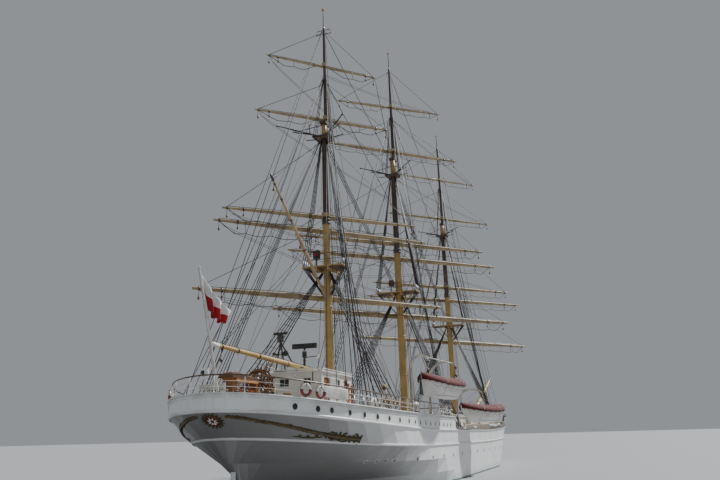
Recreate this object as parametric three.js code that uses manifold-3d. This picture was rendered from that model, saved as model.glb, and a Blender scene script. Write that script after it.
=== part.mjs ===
import * as THREE from 'three';
import Module from 'manifold-3d';

const wasm = await Module();
wasm.setup();
const { Manifold, Mesh: SolidMesh } = wasm;

// Three-masted full-rigged ship as a 1:10 model. +X is the bow, +Y port, +Z up, in millimetres.
// The origin is at the waterline amidships. Sizes are written in metres of the real ship and
// drawn through M, the model's millimetres for one of them.
const M = 100;
const gap = 0.3 / M;

const paint = {
  hull: { color: 0xe9ebec, roughness: 0.42, metalness: 0.0 },
  white: { color: 0xf0f1f0, roughness: 0.45, metalness: 0.0 },
  buff: { color: 0xcfae6b, roughness: 0.5, metalness: 0.0 },
  black: { color: 0x2a2422, roughness: 0.5, metalness: 0.0 },
  teak: { color: 0x9a5a2c, roughness: 0.5, metalness: 0.0 },
  steel: { color: 0x3d4043, roughness: 0.5, metalness: 0.6 },
  wire: { color: 0x35312e, roughness: 0.6, metalness: 0.4 },
  bronze: { color: 0xa8823e, roughness: 0.4, metalness: 0.9 },
  canvas: { color: 0xdadada, roughness: 0.85, metalness: 0.0 },
  green: { color: 0x2f4a45, roughness: 0.5, metalness: 0.0 },
};

// Solids. Each maker takes metres of the real ship and gives a manifold solid in metres; add()
// brings it to the model's millimetres.
function solidOf(geometry) {
  const flat = geometry.index ? geometry.toNonIndexed() : geometry;
  const position = flat.getAttribute('position').array;
  const mesh = new SolidMesh({
    numProp: 3,
    vertProperties: new Float32Array(position),
    triVerts: Uint32Array.from({ length: position.length / 3 }, (_, i) => i),
  });
  mesh.merge();
  return new Manifold(mesh);
}

function geometryOf(solid) {
  const mesh = solid.getMesh();
  const geometry = new THREE.BufferGeometry();
  geometry.setAttribute('position', new THREE.BufferAttribute(Float32Array.from(mesh.vertProperties), 3));
  geometry.setIndex(new THREE.BufferAttribute(Uint32Array.from(mesh.triVerts), 1));
  return geometry;
}

function join(first, ...others) {
  return others.reduce((sum, one) => sum.add(one), first);
}

function box(x, y, z, cx, cy, cz) {
  return Manifold.cube([x, y, z], true).translate([cx, cy, cz]);
}

// A box between two heights, standing at x, y.
function block(length, width, low, high, x, y) {
  return box(length, width, high - low, x, y, (low + high) / 2);
}

// A round bar between two points, with its own radius at each end.
function bar(from, to, r1, r2 = r1, sides = 8) {
  const start = new THREE.Vector3(...from);
  const along = new THREE.Vector3(...to).sub(start);
  const length = along.length();
  const turn = new THREE.Quaternion().setFromUnitVectors(new THREE.Vector3(0, 0, 1), along.normalize());
  const place = new THREE.Matrix4().compose(start, turn, new THREE.Vector3(1, 1, 1));
  return Manifold.cylinder(length, r1, r2, sides).transform(place.elements);
}

// A spar turned about its own Z axis from rows of [height, radius], lowest first.
function turned(rows, sides = 14) {
  const outline = [[rows[0][0], 0], ...rows, [rows[rows.length - 1][0], 0]];
  const points = outline.map(([z, r]) => new THREE.Vector2(r, z));
  return solidOf(new THREE.LatheGeometry(points, sides)).rotate([90, 0, 0]);
}

// A flat plate from an outline of [x, y], from one height up to another.
function plate(outline, low, high) {
  const shape = new THREE.Shape(outline.map(([x, y]) => new THREE.Vector2(x, y)));
  const sheet = new THREE.ExtrudeGeometry(shape, { depth: high - low, bevelEnabled: false });
  return solidOf(sheet).translate([0, 0, low]);
}

const group = new THREE.Group();

function add(parent, name, solid, look) {
  const mesh = new THREE.Mesh(geometryOf(solid.scale([M, M, M])), new THREE.MeshStandardMaterial(paint[look]));
  mesh.name = name;
  parent.add(mesh);
  return mesh;
}

// A group placed at x, y, z in metres and turned by degrees about one axis.
function frameAt(parent, [x, y, z], turn = {}) {
  const frame = new THREE.Group();
  frame.position.set(x * M, y * M, z * M);
  for (const [axis, degrees] of Object.entries(turn)) frame.rotation[axis] = THREE.MathUtils.degToRad(degrees);
  parent.add(frame);
  return frame;
}

// Hull
// Each row is one level of the side, from the keel up: z amidships, its rise at the stern and at
// the bow, where the level ends aft and forward, its greatest half breadth, and the lengths over
// which it fines away, with the powers that shape those ends.
const hullShape = {
  stations: 40,
  sheerAft: { start: -6, length: 33 },
  sheerFore: { start: 4, length: 35 },
  levels: [
    { z: -5.60, up: [0.0, 0.0], ends: [-34.4, 31.5], half: 0.18, aft: [2, 2], fore: [3, 2] },
    { z: -5.45, up: [0.0, 0.1], ends: [-34.4, 32.8], half: 3.40, aft: [29, 1.08], fore: [27, 1.2] },
    { z: -4.95, up: [0.0, 0.1], ends: [-34.4, 33.8], half: 4.90, aft: [28, 1.1], fore: [26, 1.25] },
    { z: -4.10, up: [0.0, 0.1], ends: [-34.4, 34.6], half: 5.75, aft: [27, 1.12], fore: [25, 1.3] },
    { z: -2.80, up: [0.0, 0.1], ends: [-34.4, 35.2], half: 6.15, aft: [26, 1.15], fore: [24, 1.4] },
    { z: -1.40, up: [0.0, 0.1], ends: [-34.4, 35.5], half: 6.28, aft: [25, 1.2], fore: [23, 1.5] },
    { z: 0.00, up: [0.25, 0.1], ends: [-34.9, 35.8], half: 6.30, aft: [24, 1.25], fore: [22, 1.6] },
    { z: 0.90, up: [0.45, 0.3], ends: [-35.4, 36.1], half: 6.30, aft: [22, 1.32], fore: [21.5, 1.7] },
    { z: 1.90, up: [0.7, 0.6], ends: [-36.3, 36.7], half: 6.30, aft: [18.5, 1.68], fore: [21, 1.8], rise: 2.4 },
    { z: 2.93, up: [0.96, 1.0], ends: [-37.15, 37.5], half: 6.3, aft: [16.5, 2.3], fore: [20.5, 1.9], rise: 3.3 },
    { z: 4.04, up: [1.02, 1.4], ends: [-38.95, 38.5], half: 6.28, aft: [17, 2.6], fore: [20, 2.1], rise: 3.2 },
    { z: 5.05, up: [0.8, 1.9], ends: [-39.0, 39.6], half: 6.25, aft: [17, 2.6], fore: [19.5, 2.3], rise: 5.0 },
  ],
};
const [lowerMoulding, upperMoulding, rail] = hullShape.levels.slice(-3);

// Heights rise from amidships towards both ends along a curve, the sheer. The power of its rise
// towards the stern is 2 where a level gives no other.
function heightAt(shape, level, x) {
  const towardsStern = Math.max(0, (shape.sheerAft.start - x) / shape.sheerAft.length) ** (level.rise ?? 2);
  const towardsBow = Math.max(0, (x - shape.sheerFore.start) / shape.sheerFore.length) ** 2;
  return level.z + level.up[0] * towardsStern + level.up[1] * towardsBow;
}

function halfAt(level, x) {
  const end = (distance, [run, power], fullness) => {
    const t = Math.min(1, Math.max(0, distance / run));
    return (1 - (1 - t) ** power) ** (1 / Math.max(1, power * fullness));
  };
  return level.half * end(x - level.ends[0], level.aft, 0.85) * end(level.ends[1] - x, level.fore, 0.75);
}

// One closed ring at a level: starboard side from aft, then port side back. The stations crowd
// towards both ends, where the outline turns fastest.
function ring(shape, level, inset = 0, lift = 0) {
  const aftEnd = level.ends[0] + inset;
  const foreEnd = level.ends[1] - inset * 1.6;
  const starboard = [];
  for (let i = 0; i <= shape.stations; i++) {
    const x = aftEnd + (foreEnd - aftEnd) * (0.5 - 0.5 * Math.cos(Math.PI * i / shape.stations));
    const y = Math.max(0.02, halfAt(level, x) - inset);
    starboard.push([x, -y, heightAt(shape, level, x) + lift]);
  }
  const port = starboard.map(([x, y, z]) => [x, -y, z]).reverse();
  return [...starboard, ...port];
}

// Rings joined into one closed body, with the first and the last closed straight across.
function stack(rings) {
  const count = rings[0].length;
  const faces = [];
  for (let r = 0; r + 1 < rings.length; r++) {
    for (let i = 0; i < count; i++) {
      const a = r * count + i;
      const b = r * count + (i + 1) % count;
      faces.push(a, b, b + count, a, b + count, a + count);
    }
  }
  const top = (rings.length - 1) * count;
  for (let i = 0; i + 1 < count / 2; i++) {
    const j = count - 1 - i;
    faces.push(i, j, j - 1, i, j - 1, i + 1);
    faces.push(top + i, top + j - 1, top + j, top + i, top + i + 1, top + j - 1);
  }
  const mesh = new SolidMesh({
    numProp: 3,
    vertProperties: new Float32Array(rings.flat(2)),
    triVerts: new Uint32Array(faces),
  });
  mesh.merge();
  return new Manifold(mesh);
}

// Decks: where each starts and ends, and its height above a level of the side.
const bulwark = 0.2;
const decks = {
  poop: { from: -39.5, to: -9.2, level: rail, lift: -0.15 },
  waist: { from: -9.2, to: 25.0, level: lowerMoulding, lift: 0.05 },
  forecastle: { from: 25.0, to: 40.5, level: upperMoulding, lift: 0.35 },
};

function deckHeight(name, x) {
  return heightAt(hullShape, decks[name].level, x) + decks[name].lift;
}

// What is cut away above a deck, inside the bulwarks, which lean as the side does.
function well({ from, to, level, lift }) {
  const rings = [ring(hullShape, level, bulwark, lift)];
  const above = hullShape.levels.slice(hullShape.levels.indexOf(level) + 1);
  for (const side of above) rings.push(ring(hullShape, side, bulwark));
  rings.push(ring(hullShape, rail, bulwark, 3));
  return stack(rings).intersect(box(to - from, 20, 20, (from + to) / 2, 0, 5));
}

// What is cut off the rail along the waist, where the bulwark is no higher than the poop's deck.
function waistRail({ from, to }) {
  const { z, up, rise } = upperMoulding;
  const low = ring(hullShape, { ...rail, z, up, rise }, -0.6);
  const high = ring(hullShape, rail, -0.6, 3);
  return stack([low, high]).intersect(box(to - from, 20, 20, (from + to) / 2, 0, 5));
}

// What stands on the decks and is built up from them: hatches, a companionway, and the level
// coamings under the houses and the steering gear.
const builtUp = [
  { deck: 'waist', x: 18.6, length: 2.4, width: 2.6, height: 0.75 },
  { deck: 'waist', x: 3.2, length: 2.8, width: 2.8, height: 0.75 },
  { deck: 'waist', x: -6.2, length: 2.2, width: 2.4, height: 0.75 },
  { deck: 'poop', x: -12.4, length: 2.2, width: 2.0, height: 1.1 },
  { deck: 'forecastle', x: 29.0, length: 1.6, width: 1.8, height: 0.6 },
];

const houses = {
  chart: { deck: 'poop', from: -28.5, to: -22.95, half: 1.8, floor: 5.05, roof: 7.78 },
  midship: { deck: 'waist', from: 6.6, to: 15.8, half: 2.5, floor: 3.25, roof: 5.75 },
};
const steeringFloor = 5.53;

// Masts, stepped on the decks and raked aft by degrees. Heights are above the water along the
// mast, radii are at the foot, cap, crosstrees, heel of the topgallant mast and its pole.
const masts = [
  { name: 'mizzen', x: -22.15, rake: 2.11, foot: 5.08, top: 15.79, cap: 19.5, cross: 26.4, head: 27.8,
    pole: 36.3, truck: 38.1, radii: [0.30, 0.26, 0.19, 0.17, 0.09], topHalf: 1.6 },
  { name: 'main', x: -2.2, rake: 2.37, foot: 3.13, top: 17.61, cap: 22.1, cross: 30.4, head: 32.4,
    pole: 43.1, truck: 45.1, radii: [0.39, 0.34, 0.23, 0.20, 0.10], topHalf: 2.1 },
  { name: 'fore', x: 22.57, rake: 3.47, foot: 3.42, top: 17.73, cap: 21.9, cross: 30.3, head: 32.1,
    pole: 43.3, truck: 45.3, radii: [0.39, 0.34, 0.23, 0.20, 0.10], topHalf: 2.1 },
];

// The bowsprit, and the post at the stem that carries it, drawn in x and z.
const bowsprit = { heel: [36.6, 0, 6.9], cap: [55.0, 0, 12.95], radii: [0.34, 0.13] };
const stemPost = [[37.95, 5.5], [38.35, 5.5], [39.42, 7.0], [39.42, 7.42], [38.6, 7.17], [37.95, 6.5]];

// The ring on deck that a mast stands on, square to the mast.
function mastStep({ x, rake, foot, radii }) {
  const step = Manifold.cylinder(0.5, radii[0] + 0.14, radii[0] + 0.1, 18).translate([0, 0, foot - gap - 0.5]);
  return step.rotate([0, -rake, 0]).translate([x, 0, 0]);
}

function hull() {
  let body = stack(hullShape.levels.map((level) => ring(hullShape, level)));
  body = body.subtract(waistRail(decks.waist));
  for (const deck of Object.values(decks)) body = body.subtract(well(deck));
  for (const { deck, x, length, width, height } of builtUp) {
    const floor = deckHeight(deck, x);
    body = body.add(block(length, width, floor - 0.4, floor + height, x, 0));
  }
  for (const { deck, from, to, half, floor } of Object.values(houses)) {
    const middle = (from + to) / 2;
    body = body.add(block(to - from, 2 * half, deckHeight(deck, middle) - 0.5, floor, middle, 0));
  }
  for (const mast of masts) body = body.add(mastStep(mast));
  body = body.add(block(0.5, 0.9, 5.3, 6.57, 37.0, 0)).add(plate(stemPost, -0.25, 0.25).rotate([90, 0, 0]));
  return body.add(block(4.6, 2.4, 4.9, steeringFloor, -34.85, 0));
}
add(group, 'hull', hull(), 'hull');

// Stern frame, rudder and propeller
const keel = -5.55;
const rudderAxis = { x: -36.15, low: -5.2, high: 2.05 };
const screw = { x: -35.02, z: -3.1, blade: 0.5, blades: 3 };

function sternFrame() {
  const sole = box(1.35, 0.26, 0.3, -34.4 - gap - 0.675, 0, keel + 0.15);
  return sole.add(block(0.24, 0.26, keel, 1.4, -35.64, 0));
}
add(group, 'stern_frame', sternFrame(), 'green');

function rudder() {
  const blade = new THREE.Shape();
  blade.moveTo(0, rudderAxis.high - 0.1);
  blade.lineTo(0, rudderAxis.low);
  blade.lineTo(-1.45, rudderAxis.low);
  blade.quadraticCurveTo(-1.8, -2.6, -1.3, -0.9);
  blade.quadraticCurveTo(-1.0, 0.0, -0.4, 0.2);
  const sheet = new THREE.ExtrudeGeometry(blade, { depth: 0.16, bevelEnabled: false, curveSegments: 6 });
  const stock = Manifold.cylinder(rudderAxis.high - rudderAxis.low, 0.13, 0.13, 14);
  return solidOf(sheet).rotate([90, 0, 0]).translate([0, 0.08, 0]).add(stock.translate([0, 0, rudderAxis.low]));
}
add(frameAt(group, [rudderAxis.x, 0, 0]), 'rudder', rudder(), 'green');

function propeller() {
  let wheel = turned([[-0.22, 0.08], [-0.16, 0.17], [0.2, 0.22], [0.3, 0.16], [0.6 - gap, 0.14]], 16);
  for (let k = 0; k < screw.blades; k++) {
    const outline = new THREE.Shape();
    outline.absellipse(0.62, 0, screw.blade, 0.3, 0, 2 * Math.PI);
    const blade = new THREE.ExtrudeGeometry(outline, { depth: 0.07, bevelEnabled: false, curveSegments: 8 });
    const pitched = solidOf(blade).translate([0, 0, -0.035]).rotate([26, 0, 0]);
    wheel = wheel.add(pitched.rotate([0, 0, k * 360 / screw.blades]));
  }
  return wheel.rotate([0, 90, 0]);
}
add(frameAt(group, [screw.x, 0, screw.z]), 'propeller', propeller(), 'bronze');

// Steering gear: a hood under one cambered lid that arches over its after end and falls forward,
// on a narrow chest aft and two posts forward, with the gear's low block between them. Each row of
// the lid is x and the height of its ridge.
const wheel = { x: -33.2, z: 6.72, rim: 0.7, spokes: 10, rims: [0, -0.42] };
const gear = {
  lid: [[-37.15, 6.9], [-37.05, 7.0], [-36.8, 7.08], [-36.4, 7.08], [-36.0, 7.03], [-35.5, 6.98],
    [-34.9, 6.95], [-34.3, 6.93]],
  camber: 0.09,
  lidFoot: 6.79,
  lidHalf: 0.43,
  half: 0.4,
  valance: 6.6,
  chest: { aft: -36.8, fore: -36.3, half: 0.2 },
  block: { aft: -36.4, fore: -33.9, half: 0.2, top: 6.25 },
  bearing: { x: -34.06, length: 0.3, half: 0.17 },
  post: { x: -34.46, y: 0.35, side: 0.08 },
};

function gearLid() {
  const { lid, camber, lidFoot, lidHalf } = gear;
  const section = ([x, z]) => [
    [x, -lidHalf, lidFoot], [x, -lidHalf, z - camber], [x, -lidHalf / 2, z - camber / 4], [x, 0, z],
    [x, lidHalf / 2, z - camber / 4], [x, lidHalf, z - camber], [x, lidHalf, lidFoot],
  ];
  return join(...lid.slice(1).map((row, i) => Manifold.hull([...section(lid[i]), ...section(row)])));
}

function gearCase() {
  const { lidFoot, half, valance, chest, bearing, post } = gear;
  const floor = steeringFloor + gap;
  const length = post.x + 0.1 - chest.aft;
  const hood = block(length, 2 * half, valance, lidFoot + 0.05, chest.aft + length / 2, 0);
  const shoulder = [];
  for (const y of [-1, 1]) {
    shoulder.push([chest.aft - 0.27, y * (half - 0.01), lidFoot + 0.04], [chest.fore, y * (half - 0.01), lidFoot]);
    shoulder.push([chest.aft - 0.02, y * chest.half, valance - 0.02], [chest.fore, y * chest.half, valance - 0.02]);
  }
  const stand = block(chest.fore - chest.aft, 2 * chest.half - 0.02, floor, valance + 0.1, (chest.aft + chest.fore) / 2, 0);
  const inner = block(gear.block.fore - gear.block.aft, 2 * gear.block.half - 0.06, floor, gear.block.top,
    (gear.block.aft + gear.block.fore) / 2, 0);
  const head = block(bearing.length, 2 * bearing.half, floor, wheel.z + 0.2, bearing.x, 0);
  let solid = join(gearLid(), hood, Manifold.hull(shoulder), stand, inner, head);
  for (const y of [-post.y, post.y]) {
    solid = solid.add(block(post.side, post.side, floor, valance + 0.1, post.x, y));
  }
  return solid;
}
add(group, 'steering_gear_case', gearCase(), 'teak');

// A double wheel: two rims with their spokes on one shaft, which runs aft into the bearing.
function steeringWheel() {
  const shaftEnd = gear.bearing.x + gear.bearing.length / 2 + 0.01 - wheel.x;
  let solid = Manifold.cylinder(-shaftEnd, 0.05, 0.05, 10).translate([0, 0, shaftEnd]);
  for (const z of wheel.rims) {
    const felloe = solidOf(new THREE.TorusGeometry(wheel.rim, 0.055, 8, 30));
    let rim = felloe.add(Manifold.cylinder(0.22, 0.16, 0.16, 14, true));
    for (let k = 0; k < wheel.spokes; k++) {
      const spoke = bar([0.1, 0, 0], [wheel.rim + 0.24, 0, 0], 0.035, 0.03, 6);
      rim = rim.add(spoke.rotate([0, 0, k * 360 / wheel.spokes]));
    }
    solid = solid.add(rim.translate([0, 0, z]));
  }
  return solid.rotate([0, 90, 0]);
}
add(frameAt(group, [wheel.x, 0, wheel.z]), 'steering_wheel', steeringWheel(), 'teak');

// Deckhouses: walls of one thickness with their windows cut, and a roof that overhangs them.
const wall = 0.1;
const roofThickness = 0.1;

function houseWalls({ from, to, half, floor, roof }, openings) {
  const middle = (from + to) / 2;
  const outside = block(to - from, 2 * half, floor + gap, roof - roofThickness - gap, middle, 0);
  const inside = block(to - from - 2 * wall, 2 * (half - wall), floor - 1, roof + 1, middle, 0);
  let solid = outside.subtract(inside);
  for (const { side, at, low, width, height } of openings) {
    const across = side === 'aft' || side === 'fore';
    const x = side === 'aft' ? from : side === 'fore' ? to : at;
    const y = across ? at : side === 'port' ? half : -half;
    const cut = across ? [0.5, width] : [width, 0.5];
    solid = solid.subtract(block(...cut, low, low + height, x, y));
  }
  return solid;
}

function houseRoof({ from, to, half, roof }) {
  const overhang = 0.12;
  const length = to - from + 2 * overhang;
  return block(length, 2 * (half + overhang), roof - roofThickness, roof, (from + to) / 2, 0);
}

// Doors of the chart house hang on its sides. Each row: side, where it is, and its hinge's way.
const door = { at: -27.6, width: 0.75, height: 2.05, low: 5.25 };
const sides = [['starboard', -1], ['port', 1]];

function chartOpenings() {
  const list = [
    { side: 'aft', at: 0.75, low: 6.85, width: 0.64, height: 0.44 },
    { side: 'aft', at: -0.83, low: 6.88, width: 0.5, height: 0.42 },
    { side: 'fore', at: 1.2, low: 6.88, width: 0.5, height: 0.42 },
    { side: 'fore', at: -1.2, low: 6.88, width: 0.5, height: 0.42 },
  ];
  for (const [side] of sides) {
    list.push({ side, at: door.at, low: door.low, width: door.width, height: door.height });
    for (const at of [-25.5, -24.1]) list.push({ side, at, low: 6.88, width: 0.5, height: 0.42 });
  }
  return list;
}

function midshipOpenings() {
  const list = [{ side: 'aft', at: -1.2, low: 3.5, width: 0.75, height: 1.9 }];
  for (const [side] of sides) {
    for (const at of [8.0, 10.0, 12.4, 14.4]) list.push({ side, at, low: 4.5, width: 0.5, height: 0.5 });
  }
  return list;
}

add(group, 'chart_house_walls', houseWalls(houses.chart, chartOpenings()), 'white');
add(group, 'chart_house_roof', houseRoof(houses.chart), 'white');
add(group, 'midship_house_walls', houseWalls(houses.midship, midshipOpenings()), 'white');
add(group, 'midship_house_roof', houseRoof(houses.midship), 'white');

for (const [side, sign] of sides) {
  const low = door.low + 0.06;
  const leaf = block(door.width - 0.12, 0.06, low, door.low + door.height - 0.06, door.width / 2, 0);
  const barrel = Manifold.cylinder(door.height - 0.12, 0.04, 0.04, 10).translate([0, 0, low]);
  const hung = join(leaf, barrel, block(0.12, 0.03, door.low + 0.3, door.low + 1.6, 0.03, 0));
  const hinge = frameAt(group, [door.at - door.width / 2 + 0.06, sign * (houses.chart.half - 0.05), 0]);
  add(hinge, `chart_house_door_${side}`, hung, 'teak');
}

// Yards, level whatever the rake. Each row: height above the water, half length, radius at the
// slings, and how far the starboard arm is braced forward, in degrees, on the mizzen, main and
// fore mast.
const yards = [
  { name: 'course', hung: 'truss', z: [13.70, 15.47, 15.71], half: [10.32, 13.77, 13.77], r: [0.24, 0.30, 0.30],
    brace: [47.5, 45.8, 49.7] },
  { name: 'lower_topsail', hung: 'truss', z: [18.91, 21.48, 21.35], half: [8.80, 11.94, 11.94], r: [0.20, 0.26, 0.26],
    brace: [44.3, 42.3, 43.1] },
  { name: 'upper_topsail', hung: 'parral', z: [19.98, 23.02, 23.09], half: [7.83, 10.84, 10.84], r: [0.18, 0.24, 0.24],
    brace: [41.0, 42.0, 44.6] },
  { name: 'topgallant', hung: 'parral', z: [28.22, 33.39, 32.93], half: [5.70, 8.18, 8.18], r: [0.14, 0.18, 0.18],
    brace: [41.8, 42.0, 43.2] },
  { name: 'royal', hung: 'parral', z: [32.93, 38.57, 38.59], half: [4.82, 6.08, 6.08], r: [0.11, 0.13, 0.13],
    brace: [44.0, 38.1, 43.7] },
];
const truss = { reach: [0.5, 0.62, 0.62], arm: 0.42, pin: 0.07 };
const topgallantAhead = 0.47;

// A mast's radius at a height, straight between the values of its table row.
function radiusAt(mast, z) {
  const [foot, cap, cross, heel, truck] = mast.radii;
  if (z <= mast.cap) return foot + (cap - foot) * (z - mast.foot) / (mast.cap - mast.foot);
  if (z < mast.cross) return cap + (cross - cap) * (z - mast.cap) / (mast.cross - mast.cap);
  return heel + (truck - heel) * (z - mast.cross) / (mast.pole - mast.cross);
}

// Where a point ahead of a raked mast's axis lies along the mast, from its height above the water.
function alongMast(mast, ahead, height) {
  const rake = THREE.MathUtils.degToRad(mast.rake);
  return (height - ahead * Math.sin(rake)) / Math.cos(rake);
}

// The same point in the ship's own frame.
function besideMast(mast, ahead, height) {
  const rake = THREE.MathUtils.degToRad(mast.rake);
  const along = alongMast(mast, ahead, height);
  return [mast.x + ahead * Math.cos(rake) - along * Math.sin(rake), 0, height];
}

// The platform of a top or of crosstrees: a bowed front, straight sides and a square after edge.
function platform(z, half, ahead, abaft, thickness) {
  const outline = [[-abaft, -half], [ahead * 0.2, -half]];
  for (const angle of [-50, -25, 0, 25, 50]) {
    const turn = THREE.MathUtils.degToRad(angle);
    outline.push([ahead * (0.2 + 0.8 * Math.cos(turn)), half * 0.95 * Math.sin(turn) / Math.sin(1.05)]);
  }
  outline.push([ahead * 0.2, half], [-abaft, half]);
  return plate(outline, z, z + thickness);
}

// The crane that holds a trussed yard ahead of the mast, with its pin standing up.
function crane(mast, reach, height) {
  const z = alongMast(mast, reach, height);
  const beam = bar([0, 0, z - 0.42], [reach, 0, z - 0.32], 0.11, 0.11, 8);
  const brace = bar([0, 0, z - 1.1], [reach, 0, z - 0.36], 0.06, 0.06, 6);
  const pin = Manifold.cylinder(0.75, truss.pin, truss.pin, 12).translate([reach, 0, z - 0.45]);
  return join(beam, brace, pin);
}

function lowerMast(mast, index) {
  const { foot, top, cap } = mast;
  let spar = turned([[foot, mast.radii[0]], [cap, mast.radii[1]]], 18);
  spar = spar.add(platform(top, mast.topHalf, 1.0, 1.15, 0.1));
  for (const side of [-0.45, 0.45]) {
    spar = spar.add(box(2.2, 0.14, 0.28, -0.05, side, top - 0.1));
    spar = spar.add(bar([0, side * 0.5, top - 1.5], [0, side * 3.2, top + 0.02], 0.07, 0.05, 6));
  }
  spar = spar.add(crane(mast, truss.reach[index], yards[0].z[index]));
  return spar.add(crane(mast, truss.reach[index], yards[1].z[index]));
}

function topmast(mast) {
  const { cap, cross, head } = mast;
  let spar = turned([[cap + gap, mast.radii[1] - 0.02], [cross, mast.radii[2]], [head, mast.radii[2] - 0.02]], 16);
  spar = spar.add(platform(cross - 0.12, 0.75, 0.85, 0.7, 0.1));
  for (const side of [-1, 1]) {
    spar = spar.add(bar([-0.4, 0, cross - 0.05], [-1.7, side * 1.95, cross + 0.1], 0.06, 0.04, 6));
    spar = spar.add(bar([0.3, 0, cross - 0.05], [0.1, side * 1.6, cross + 0.05], 0.05, 0.04, 6));
  }
  const capBand = block(topgallantAhead + 0.62, 0.52, head - 0.3, head - 0.08, topgallantAhead / 2, 0);
  const hole = Manifold.cylinder(1, mast.radii[3] + gap, mast.radii[3] + gap, 16, true);
  return spar.add(capBand).subtract(hole.translate([topgallantAhead, 0, head - 0.2]));
}

function topgallantMast(mast) {
  const { cross, pole, truck } = mast;
  const rows = [[cross + gap, mast.radii[3]], [pole, mast.radii[4]], [pole + 0.12, 0.05], [truck - 0.15, 0.035]];
  rows.push([truck - 0.12, 0.09], [truck, 0.07]);
  return turned(rows, 14).translate([topgallantAhead, 0, 0]);
}

// A yard's own frame has its pivot at the origin; the spar lies across, ahead of it.
function yard(row, index, mast) {
  const half = row.half[index];
  const r = row.r[index];
  const taper = [[-half, 0.42], [-half * 0.86, 0.55], [-half * 0.45, 0.86], [0, 1], [half * 0.45, 0.86],
    [half * 0.86, 0.55], [half, 0.42]];
  const spar = turned(taper.map(([at, share]) => [at, r * share]), 12).rotate([90, 0, 0]);
  if (row.hung === 'truss') {
    const ahead = truss.arm;
    const arm = box(ahead, 0.22, 0.2, ahead / 2, 0, 0);
    const eye = Manifold.cylinder(0.32, 0.16, 0.16, 14, true);
    const hole = Manifold.cylinder(1, truss.pin + 0.02, truss.pin + 0.02, 12, true);
    return spar.translate([ahead, 0, 0]).add(arm).add(eye).subtract(hole);
  }
  const bore = radiusAt(mast, row.z[index] - 0.2) + 0.02;
  const ahead = bore + 0.08 + r;
  const collar = Manifold.cylinder(0.3, bore + 0.07, bore + 0.07, 20, true);
  const saddle = box(ahead - bore, 0.24, 0.24, bore + (ahead - bore) / 2, 0, 0);
  const hole = Manifold.cylinder(1, bore, bore, 20, true);
  return join(spar.translate([ahead, 0, 0]), collar, saddle).subtract(hole);
}

function pivotAhead(row, index) {
  if (row.hung === 'truss') return truss.reach[index];
  return row.name === 'upper_topsail' ? 0 : topgallantAhead;
}

masts.forEach((mast, index) => {
  const stepped = frameAt(group, [mast.x, 0, 0], { y: -mast.rake });
  add(stepped, `${mast.name}_lower_mast`, lowerMast(mast, index), 'buff');
  add(stepped, `${mast.name}_topmast`, topmast(mast), 'black');
  add(stepped, `${mast.name}_topgallant_mast`, topgallantMast(mast), 'black');
  for (const row of yards) {
    const pivot = besideMast(mast, pivotAhead(row, index), row.z[index]);
    const braced = frameAt(group, pivot, { z: row.brace[index] });
    add(braced, `${mast.name}_${row.name}_yard`, yard(row, index, mast), 'buff');
  }
});

add(group, 'bowsprit', bar(bowsprit.heel, bowsprit.cap, ...bowsprit.radii, 16), 'buff');

// Spanker boom and gaff, each on a gooseneck abaft the mizzen mast.
const mizzen = masts[0];
const goosenecks = {
  spanker_boom: { z: 7.98, toEnd: [-14.52, 0.79, 0.57], radii: [0.13, 0.17, 0.1] },
  gaff: { z: 13.55, toEnd: [-9.25, 0, 6.3], radii: [0.1, 0.13, 0.06] },
};
const gooseneckAbaft = 0.46;

function sparFrom({ toEnd, radii }) {
  const middle = toEnd.map((value) => value * 0.4);
  const start = toEnd.map((value) => value * 0.006);
  const eye = Manifold.cylinder(0.2, 0.1, 0.1, 12, true);
  return join(bar(start, middle, radii[0], radii[1], 12), bar(middle, toEnd, radii[1], radii[2], 12), eye);
}

for (const [name, row] of Object.entries(goosenecks)) {
  const axisX = mizzen.x - row.z * Math.tan(THREE.MathUtils.degToRad(mizzen.rake));
  add(frameAt(group, [axisX - gooseneckAbaft, 0, row.z]), name, sparFrom(row), 'buff');
}

// Main stays, straight wires from each mast forward and down.
const stays = {
  mizzen_stay: { from: [-22.28, 0, 15.45], to: [-3.5, 0, 3.3], radius: 0.035 },
  mizzen_topmast_stay: { from: [-22.75, 0, 26.0], to: [-4.35, 0, 17.95], radius: 0.035 },
  main_stay: { from: [-2.35, 0, 17.25], to: [20.4, 0, 3.65], radius: 0.04 },
  main_topmast_stay: { from: [-3.05, 0, 29.9], to: [20.1, 0, 18.1], radius: 0.035 },
  fore_stay: { from: [21.95, 0, 18.58], to: [43.77, 0, 9.586], radius: 0.05 },
  fore_topmast_stay: { from: [21.5, 0, 31.87], to: [47.05, 0, 10.631], radius: 0.04 },
};
for (const [name, { from, to, radius }] of Object.entries(stays)) {
  add(group, name, bar(from, to, radius, radius, 6), 'wire');
}

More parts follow.
